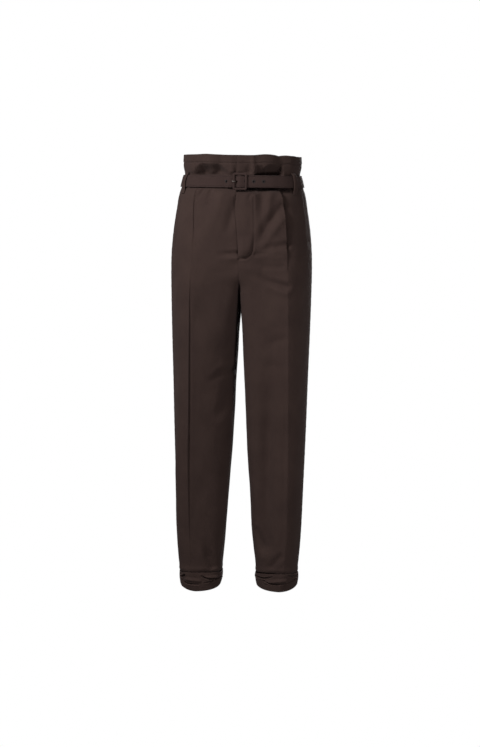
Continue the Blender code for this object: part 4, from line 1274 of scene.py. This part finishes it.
def add_belt():
    """One strip: from the middle bar round the body, through the frame and over its start."""
    distances = np.arange(BELT_START, belt_end() + BELT_STEP / 2, BELT_STEP)
    near = belt_level(distances)
    rng = np.random.default_rng(BELT_SEED)
    ripple = sum(np.sin(distances * 2 * math.pi / wave + rng.uniform(0, 6)) for wave in BELT_WAVES)
    rings = []
    for z, level in belt_section():
        point, out = waist_at(distances, z)
        lift = near + level + BELT_RIPPLE * ripple * (level > BELT_THICK / 2)
        rings.append(point + out * lift[:, None])
    strip = placed("belt_strip", tube_mesh("belt_strip", np.stack(rings, axis=1)))
    cutters = [placed("hole_cutter", hole_cutter(place, HOLE_WIDTH)) for place in HOLES]
    cutters.append(placed("hole_cutter", hole_cutter(PRONG_HOLE, PRONG_HOLE_LENGTH)))
    for cutter in cutters:
        cut = strip.modifiers.new("hole", "BOOLEAN")
        cut.operation = "DIFFERENCE"
        cut.object = cutter
        cut.solver = "EXACT"
    mesh = baked(strip)
    for cutter in cutters:
        bpy.data.objects.remove(cutter, do_unlink=True)
    mesh.set_sharp_from_angle(angle=FINE_ANGLE)
    piece = add_piece("belt_strip", mesh, "covered_wool", ["belt"])


def add_eyelets():
    """Each hole's ring of close buttonhole stitches, ribbed all the way round. Its near-black thread is
    partly painted shade of the hole.
    """
    parts = []
    for place in HOLES:
        point, out = waist_at(place)
        level = belt_level(place + around()) + BELT_THICK + BELT_CROWN
        tangent = np.array([-out[1], out[0], 0.0])
        up = np.array([0.0, 0.0, 1.0])
        rings = []
        for turn in np.linspace(0.0, 2 * math.pi, 56, endpoint=False):
            radial = tangent * math.cos(turn) + up * math.sin(turn)
            ribbed = EYELET_THREAD * (1.0 + 0.22 * math.cos(14 * turn))
            ring = [
                point + out * (level + 0.6 * ribbed * math.sin(angle))
                + radial * (EYELET_RADIUS + 1.3 * ribbed * math.cos(angle))
                for angle in np.linspace(0.0, 2 * math.pi, 6, endpoint=False)
            ]
            rings.append(ring)
        parts.append(tube(rings, closed=True))
    starts = np.cumsum([0] + [len(vertices) for vertices, _ in parts[:-1]])
    faces = np.concatenate([faces + start for (_, faces), start in zip(parts, starts)])
    mesh = solid_mesh("eyelet_edging", np.concatenate([vertices for vertices, _ in parts]), faces)
    add_piece("eyelet_edging", mesh, "buttonhole_thread")


def rounded_rectangle(width, height, corner, corner_steps=6, side_steps=8):
    """Points round a rounded rectangle, as many along each side and corner whatever its size."""
    corners = []
    for turn, (side, end) in enumerate(((1, 1), (-1, 1), (-1, -1), (1, -1))):
        angles = (turn + np.linspace(0.0, 1.0, corner_steps + 1)) * math.pi / 2
        x = side * (width / 2 - corner) + corner * np.cos(angles)
        z = end * (height / 2 - corner) + corner * np.sin(angles)
        corners.append(np.stack([x, z], axis=-1))
    points = []
    for this, ahead in zip(corners, corners[1:] + corners[:1]):
        points.extend(this)
        shares = np.linspace(0.0, 1.0, side_steps + 1)[1:-1]
        points.extend(this[-1] + (ahead[0] - this[-1]) * share for share in shares)
    return np.array(points)


def add_buckle():
    """The covered frame: cloth drawn round a flat rectangle, fuller along the middle of each side."""
    waist = section("front", -PRESSED_HEIGHT)
    level = waist + free_level() + BELT_THICK + 2 * BELT_GAP + BUCKLE_THICK / 2
    outer = rounded_rectangle(BUCKLE_WIDTH, BUCKLE_HEIGHT, BUCKLE_CORNER)
    inner = rounded_rectangle(BUCKLE_WIDTH - 2 * BUCKLE_BAR, BUCKLE_HEIGHT - 2 * BUCKLE_BAR, WINDOW_CORNER)
    rng = np.random.default_rng(BUCKLE_SEED)
    length = np.linspace(0.0, 2 * math.pi, len(outer), endpoint=False)
    uneven = sum(np.sin(length * wave + rng.uniform(0, 6)) for wave in BUCKLE_WAVES) * BUCKLE_UNEVEN
    rings = []
    for angle in np.linspace(0.0, 2 * math.pi, 20, endpoint=False):
        across = 0.5 + 0.5 * np.sign(math.cos(angle)) * abs(math.cos(angle)) ** 0.75
        out = np.sign(math.sin(angle)) * abs(math.sin(angle)) ** 0.8 * (BUCKLE_THICK / 2 + uneven)
        flat = inner + (outer - inner) * across
        rings.append(np.stack([BUCKLE_X + flat[:, 0], -(level + out), flat[:, 1]], axis=-1))
    mesh = tube_mesh("covered_buckle", np.stack(rings, axis=1), closed=True)
    add_piece("covered_buckle", mesh, "covered_wool", ["buckle"])
    bend = BRACKET_BEND
    reach = (BELT_HEIGHT / 2 + BRACKET_CLEAR + BUCKLE_HEIGHT / 2 - bend) / 2
    bar = waist + BELT_GAP + bend
    path = [(level, -reach), (bar + bend, -reach), (bar + bend / 3, -reach + bend / 3), (bar, -reach + bend)]
    path += [(y, -z) for y, z in reversed(path)]
    points = np.array([(BUCKLE_X, -y, z) for y, z in path])
    wide = np.array([1.0, 0.0, 0.0])
    mesh = strip_mesh("buckle_bar", points, wide, BRACKET_WIDTH, BRACKET_THICK)
    add_piece("buckle_bar", mesh, "satin_steel")


def strip_mesh(name, points, wide, width, thick, crown=0.0):
    """A flat strip with rounded edges along a path, whose width lies along one direction."""
    steps = unit(np.diff(points, axis=0))
    ahead = unit(np.concatenate([steps[:1], steps[:-1] + steps[1:], steps[-1:]]))
    away = unit(np.cross(ahead, wide))
    radius = thick / 2
    section_points = []
    for side in (1, -1):
        for turn in np.linspace(-math.pi / 2, math.pi / 2, 5):
            across = side * (width / 2 - radius + radius * math.cos(turn))
            section_points.append((across, side * radius * math.sin(turn)))
        for share in (0.25, 0.5, 0.75):
            section_points.append((side * (width / 2 - radius) * (1.0 - 2 * share), side * radius))
    crowned = [(across, over + crown * (1.0 - (2 * across / width) ** 2)) for across, over in section_points]
    rings = np.stack([points + wide * across + away * over for across, over in crowned], axis=1)
    return tube_mesh(name, rings, across=True)


def surface(face, x, z):
    """A point on the outside of either half at a signed x."""
    half = "left" if x >= 0 else "right"
    point = cloth(f"{face}_{half}", np.array([abs(x)]), np.array([z]))[0]
    return point * np.array([1.0 if x >= 0 else -1.0, 1.0, 1.0])


def loop_path(loop):
    """The middle of a loop's strip, from the cloth over the belt and back, and its level direction across."""
    point, out = waist_at(waist_distance(loop.face, loop.x))
    tangent = np.array([-out[1], out[0], 0.0])
    over = BELT_GAP + loop.layers * (BELT_THICK + BELT_GAP) + LOOP_THICK / 2

    def cloth_level(z, lean):
        shifts = np.linspace(lean - LOOP_WIDTH / 2, lean + LOOP_WIDTH / 2, 7)
        across = [surface(loop.face, (point + tangent * shift)[0], z) for shift in shifts]
        return max(np.dot(place - point, out) for place in across) + LOOP_CLEAR + LOOP_THICK / 2

    heights = np.concatenate([
        np.linspace(LOOP_TOP, LOOP_SHOULDER, 7), np.linspace(LOOP_SHOULDER, -LOOP_SHOULDER, 17)[1:-1],
        np.linspace(-LOOP_SHOULDER, LOOP_BOTTOM, 11),
    ])
    points = []
    for z in heights:
        up = z > 0
        end, lean = (LOOP_TOP, loop.lean_top) if up else (LOOP_BOTTOM, loop.lean_bottom)
        share = np.clip((abs(z) - LOOP_SHOULDER) / (abs(end) - LOOP_SHOULDER), 0.0, 1.0)
        belt_out = np.dot(waist_at(waist_distance(loop.face, loop.x), z)[0] - point, out)
        level = over + belt_out + LOOP_BOW * math.cos(math.pi / 2 * min(abs(z) / LOOP_SHOULDER, 1.0))
        if share > 0.0:
            level += (cloth_level(z, lean) - level) * eased(share) ** 0.9
        shift = lean * (SHOULDER_LEAN * min(abs(z) / LOOP_SHOULDER, 1.0) + (1.0 - SHOULDER_LEAN) * share)
        points.append(point + out * level + tangent * shift + np.array([0.0, 0.0, z]))
    return np.array(points), tangent, out


def add_loops():
    for loop in LOOPS:
        points, tangent, _ = loop_path(loop)
        mesh = strip_mesh(f"strip_{loop.name}", points, tangent, LOOP_WIDTH, LOOP_THICK, LOOP_CROWN)
        piece = add_piece(f"strip_{loop.name}", mesh, "worsted_wool", [loop.name])


def smooth_line(points, step):
    """A line of points resampled at even steps."""
    points = np.asarray(points)
    lengths = np.concatenate([[0.0], np.cumsum(np.linalg.norm(np.diff(points, axis=0), axis=1))])
    at = np.linspace(0.0, lengths[-1], max(2, round(lengths[-1] / step) + 1))
    return np.stack([np.interp(at, lengths, points[:, axis]) for axis in range(points.shape[1])], axis=-1)


def on_panel(panel, line):
    """A line of (x, z) laid on the outside of a panel, with the directions out of it."""
    x, z = smooth_line(line, 0.002).T
    normals = plan_normal(panel, x, z)
    return (cloth(panel, x, z) + normals * STITCH_LIFT) * mirror(panel), normals * mirror(panel)


def header_lines():
    lines = []
    for panel in PANELS:
        ends = seam_x(panel, STITCH_HEIGHT) + SEAM_CLEAR, section("side", STITCH_HEIGHT) - SEAM_CLEAR
        lines.append(on_panel(panel, [(x, STITCH_HEIGHT) for x in np.linspace(*ends, 40)]))
    return lines


def belt_lines():
    lines = []
    for side in (-1, 1):
        distances = np.arange(BELT_START + EDGE_CLEAR, belt_end() - EDGE_CLEAR, BELT_STEP)
        point, out = waist_at(distances, side * (BELT_HEIGHT / 2 - EDGE_ROW))
        level = belt_level(distances) + BELT_THICK - EDGE_GROOVE + 0.0003
        lines.append((point + out * level[:, None], out))
    return lines


def pocket_lines():
    line = [(x - POCKET_ROW, z) for x, z in POCKET_LINE]
    return [on_panel(panel, line) for panel in ("front_left", "front_right")]


def tack_lines():
    """Close rows of stitches across both ends of each loop."""
    lines = []
    for loop in LOOPS:
        points, tangent, out = loop_path(loop)
        for index in TACK_ROWS:
            middle = points[index] + out * (LOOP_THICK / 2 + STITCH_LIFT)
            across = np.linspace(-TACK_SPAN / 2, TACK_SPAN / 2, 8)[:, None] * LOOP_WIDTH * tangent
            lines.append((middle + across, np.tile(out, (8, 1))))
    return lines


def stitch_tree():
    """Stitches along the edges of a mesh: short rods of thread, laid end to end on the cloth."""
    tree = bpy.data.node_groups.new("stitches", "GeometryNodeTree")
    tree.interface.new_socket("Geometry", in_out="INPUT", socket_type="NodeSocketGeometry")
    for name in ("Pitch", "Length", "Width"):
        tree.interface.new_socket(name, in_out="INPUT", socket_type="NodeSocketFloat")
    tree.interface.new_socket("Material", in_out="INPUT", socket_type="NodeSocketMaterial")
    tree.interface.new_socket("Geometry", in_out="OUTPUT", socket_type="NodeSocketGeometry")
    given = node(tree, "NodeGroupInput").outputs
    curve = node(tree, "GeometryNodeMeshToCurve", {"Mesh": given["Geometry"]})
    points = node(
        tree, "GeometryNodeCurveToPoints", {"Curve": curve, "Length": given["Pitch"]}, mode="LENGTH"
    ).outputs
    rod = node(tree, "GeometryNodeMeshUVSphere", {"Segments": 8, "Rings": 5, "Radius": 0.5})
    ahead = node(tree, "FunctionNodeAlignRotationToVector", {"Vector": points["Tangent"]}, axis="X")
    out = node(tree, "GeometryNodeInputNamedAttribute", {"Name": "out"}, data_type="FLOAT_VECTOR")
    turn = node(
        tree, "FunctionNodeAlignRotationToVector", {"Rotation": ahead, "Vector": out},
        axis="Z", pivot_axis="X",
    )
    uneven = node(tree, "FunctionNodeRandomValue", {2: 0.9, 3: 1.06, "Seed": 5}, data_type="FLOAT").outputs[1]
    length = node(tree, "ShaderNodeMath", {0: given["Length"], 1: uneven}, operation="MULTIPLY")
    flat = node(tree, "ShaderNodeMath", {0: given["Width"], 1: 0.8}, operation="MULTIPLY")
    size = node(tree, "ShaderNodeCombineXYZ", {"X": length, "Y": given["Width"], "Z": flat})
    rods = node(
        tree, "GeometryNodeInstanceOnPoints",
        {"Points": points["Points"], "Instance": rod.outputs["Mesh"], "Rotation": turn, "Scale": size},
    )
    real = node(tree, "GeometryNodeRealizeInstances", {"Geometry": rods})
    finish = node(tree, "GeometryNodeSetMaterial", {"Geometry": real, "Material": given["Material"]})
    node(tree, "NodeGroupOutput", {"Geometry": finish})
    return tree


def add_stitches(name, lines, pitch, length, width):
    """Sews lines of (points, directions out of the cloth) as one piece of thread."""
    vertices, edges, outs = [], [], []
    for points, out in lines:
        first = len(vertices)
        vertices.extend(points.tolist())
        outs.extend(out.tolist())
        edges.extend((first + i, first + i + 1) for i in range(len(points) - 1))
    path = bpy.data.meshes.new(name)
    path.from_pydata(vertices, edges, [])
    layer = path.attributes.new("out", "FLOAT_VECTOR", "POINT")
    layer.data.foreach_set("vector", np.array(outs, dtype=np.float32).ravel())
    carrier = placed(name, path)
    sewing = carrier.modifiers.new("stitches", "NODES")
    tree = bpy.data.node_groups.get("stitches") or stitch_tree()
    sewing.node_group = tree
    values = {"Pitch": pitch, "Length": length, "Width": width, "Material": material("sewing_thread")}
    for item in tree.interface.items_tree:
        if item.in_out == "INPUT" and item.name in values:
            sewing[item.identifier] = values[item.name]
    mesh = baked(carrier)
    if len(mesh.polygons) == 0:
        raise RuntimeError(f"{name} has no stitches")
    mesh.name = name
    return add_piece(name, mesh, "sewing_thread")


def add_prong_finish():
    """The prong keeps the model's shape and gets a metal finish."""
    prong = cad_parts["prong"]
    prong.data.materials.clear()
    prong.data.materials.append(material("satin_steel"))


def plain_material(name, colour, strength):
    """Matte white board, lit so evenly that it shows no grain or edge."""
    glow = {"Color": (*colour, 1.0), "Strength": strength}
    return shaded(new_material(name)[0], glow, "ShaderNodeEmission")


def add_sweep(looks):
    """A floor that curves up into the backdrop."""
    profile = [(-9.0, 0.0)]
    profile += [
        (SWEEP_BACK - SWEEP_BEND + SWEEP_BEND * math.sin(turn), SWEEP_BEND - SWEEP_BEND * math.cos(turn))
        for turn in np.linspace(0.0, math.pi / 2, 17)
    ]
    profile.append((SWEEP_BACK, 9.0))
    rows = np.array([[(x, y, SWEEP_FLOOR + z) for x in (-9.0, 9.0)] for y, z in profile])
    mesh = bpy.data.meshes.new("sweep")
    mesh.from_pydata(rows.reshape(-1, 3).tolist(), [], grid_quads(len(profile), 2).tolist())
    mesh.materials.append(plain_material("white_board", looks.board[:], 1.0))
    sweep = placed("sweep", mesh)
    for ray in ("visible_diffuse", "visible_glossy", "visible_shadow", "visible_transmission"):
        setattr(sweep, ray, False)


def add_light(name, place, aim, size, power):
    data = bpy.data.lights.new(name, "AREA")
    data.shape = "DISK"
    data.size = size
    data.energy = power
    light = placed(name, data)
    light.location = place
    light.rotation_euler = (Vector(aim) - Vector(place)).to_track_quat("-Z", "Y").to_euler()


def add_camera():
    data = bpy.data.cameras.new("camera")
    data.sensor_width = SENSOR_WIDTH
    data.lens = CAMERA_LENS
    data.shift_x = CAMERA_SHIFT
    camera = placed("camera", data)
    back = CAMERA_DISTANCE
    eye = Vector((back * math.sin(CAMERA_TURN), -back * math.cos(CAMERA_TURN), CAMERA_HEIGHT))
    aim = (Vector((0.0, 0.0, CAMERA_AIM)) - eye).to_track_quat("-Z", "Y").to_matrix().to_4x4()
    camera.matrix_world = Matrix.Translation(eye) @ aim @ Matrix.Rotation(CAMERA_ROLL, 4, "Z")
    bpy.context.scene.camera = camera


def length_setting(name, about, default, precision=4):
    return FloatProperty(name=name, description=about, default=default, unit="LENGTH", precision=precision)


def colour_setting(name, about, default):
    return FloatVectorProperty(name=name, description=about, default=linear(default), subtype="COLOR")


class TrousersSizes(bpy.types.PropertyGroup):
    cloth: length_setting("Cloth", "Thickness of the wool", 0.0014)
    hem: length_setting("Turned top", "Thickness of the header above its stitching", 0.0027)
    pitch: length_setting("Stitch pitch", "Distance from one stitch to the next", 0.0030)
    stitch: length_setting("Stitch length", "Length of thread that shows in one stitch", 0.0024)
    thread: length_setting("Thread width", "Width of the sewing thread", 0.00045, 5)


class TrousersLooks(bpy.types.PropertyGroup):
    wool_dark: colour_setting("Wool, dark", "The wool in the valleys of its weave", "#352724")
    wool_light: colour_setting("Wool, light", "The wool on the ribs of its weave", "#463631")
    # The belt and buckle are the trousers' own wool, set a little darker here as painted shade on them.
    belt_shaded_dark: colour_setting("Belt, dark", "The belt's wool in the valleys of its weave", "#342623")
    belt_shaded_light: colour_setting("Belt, light", "The belt's wool on the ribs of its weave", "#443431")
    thread: colour_setting("Thread", "The sewing thread", "#382b28")
    # The buttonhole thread is real, and its near-black tone is also painted shade in the belt's holes.
    edging_hole_shade: colour_setting("Edging", "The buttonhole thread round the belt's holes", "#1f1716")
    metal: colour_setting("Metal", "The prong and the bar behind the buckle", "#b5ada5")
    bloom: FloatProperty(
        name="Bloom", description="How much the wool's nap lightens at grazing angles", default=0.12,
        min=0.0, max=1.0, subtype="FACTOR",
    )
    board: colour_setting("Backdrop", "The floor and the wall behind", "#ffffff")


class AddCloth(bpy.types.Operator):
    """Makes the two fronts and the two backs"""

    bl_idname = "trousers.add_cloth"
    bl_label = "Fronts and backs"

    def execute(self, context):
        for panel in PANELS:
            add_panel(panel, context.scene.trousers_sizes)
        return {"FINISHED"}


class AddTurnUps(bpy.types.Operator):
    """Makes the turn-ups round both hems"""

    bl_idname = "trousers.add_turn_ups"
    bl_label = "Turn-ups"

    def execute(self, context):
        for half in ("left", "right"):
            add_cuff(half)
        return {"FINISHED"}


class AddBelt(bpy.types.Operator):
    """Makes the belt with its holes and their edging"""

    bl_idname = "trousers.add_belt"
    bl_label = "Belt"

    def execute(self, context):
        add_belt()
        add_eyelets()
        return {"FINISHED"}


class AddBuckle(bpy.types.Operator):
    """Makes the covered buckle and its bar, and finishes its prong"""

    bl_idname = "trousers.add_buckle"
    bl_label = "Buckle"

    def execute(self, context):
        add_buckle()
        add_prong_finish()
        return {"FINISHED"}


class AddLoops(bpy.types.Operator):
    """Makes the five belt loops"""

    bl_idname = "trousers.add_loops"
    bl_label = "Belt loops"

    def execute(self, context):
        add_loops()
        return {"FINISHED"}


class AddStitches(bpy.types.Operator):
    """Sews the header, the fly, the pockets, the belt and its loops"""

    bl_idname = "trousers.add_stitches"
    bl_label = "Stitches"

    def execute(self, context):
        sizes = context.scene.trousers_sizes
        seams = (
            ("stitches_header", header_lines(), "wool"),
            ("stitches_fly", [on_panel("front_left", FLY_LINE)], "wool"),
            ("stitches_pockets", pocket_lines(), "wool"),
            ("stitches_belt", belt_lines(), "belt_cloth"),
        )
        for name, lines, slot in seams:
            add_stitches(name, lines, sizes.pitch, sizes.stitch, sizes.thread)
        add_stitches("stitches_loops", tack_lines(), TACK_PITCH, TACK_LENGTH, sizes.thread)
        return {"FINISHED"}


class AddStage(bpy.types.Operator):
    """Makes the backdrop, the lights and the camera"""

    bl_idname = "trousers.add_stage"
    bl_label = "Stage"

    def execute(self, context):
        scene = context.scene
        add_sweep(scene.trousers_looks)
        for light in LIGHTS:
            add_light(*light)
        world = bpy.data.worlds.new("studio")
        world.use_nodes = True
        tree = world.node_tree
        sky = tree.nodes["Background"]
        sky.inputs["Color"].default_value = (1.0, 1.0, 1.0, 1.0)
        seen = node(tree, "ShaderNodeLightPath").outputs["Is Camera Ray"]
        strength = node(tree, "ShaderNodeMapRange", {"Value": seen, "To Min": AMBIENT, "To Max": 1.0})
        tree.links.new(strength.outputs[0], sky.inputs["Strength"])
        scene.world = world
        scene.view_settings.view_transform = "Standard"
        add_camera()
        return {"FINISHED"}


class TrousersPanel(bpy.types.Panel):
    """Lists the steps that make the trousers"""

    bl_idname = "TROUSERS_PT_steps"
    bl_label = "Paperbag waist trousers"
    bl_space_type = "VIEW_3D"
    bl_region_type = "UI"
    bl_category = "Trousers"

    def draw(self, context):
        scene = context.scene
        for group in (scene.trousers_sizes, scene.trousers_looks):
            box = self.layout.box()
            for name in group.__annotations__:
                box.prop(group, name)
        for step in STEPS:
            self.layout.operator(step.bl_idname)


STEPS = (AddStage, AddCloth, AddTurnUps, AddBelt, AddBuckle, AddLoops, AddStitches)
CLASSES = (TrousersSizes, TrousersLooks, *STEPS, TrousersPanel)


def register():
    for cls in CLASSES:
        bpy.utils.register_class(cls)
    bpy.types.Scene.trousers_sizes = PointerProperty(type=TrousersSizes)
    bpy.types.Scene.trousers_looks = PointerProperty(type=TrousersLooks)


def unregister():
    del bpy.types.Scene.trousers_looks
    del bpy.types.Scene.trousers_sizes
    for cls in reversed(CLASSES):
        bpy.utils.unregister_class(cls)


def main():
    register()
    bpy.ops.trousers.add_stage()
    bpy.ops.trousers.add_cloth()
    bpy.ops.trousers.add_turn_ups()
    bpy.ops.trousers.add_belt()
    bpy.ops.trousers.add_buckle()
    bpy.ops.trousers.add_loops()
    bpy.ops.trousers.add_stitches()
    bpy.context.view_layer.update()


if __name__ == "__main__":
    main()
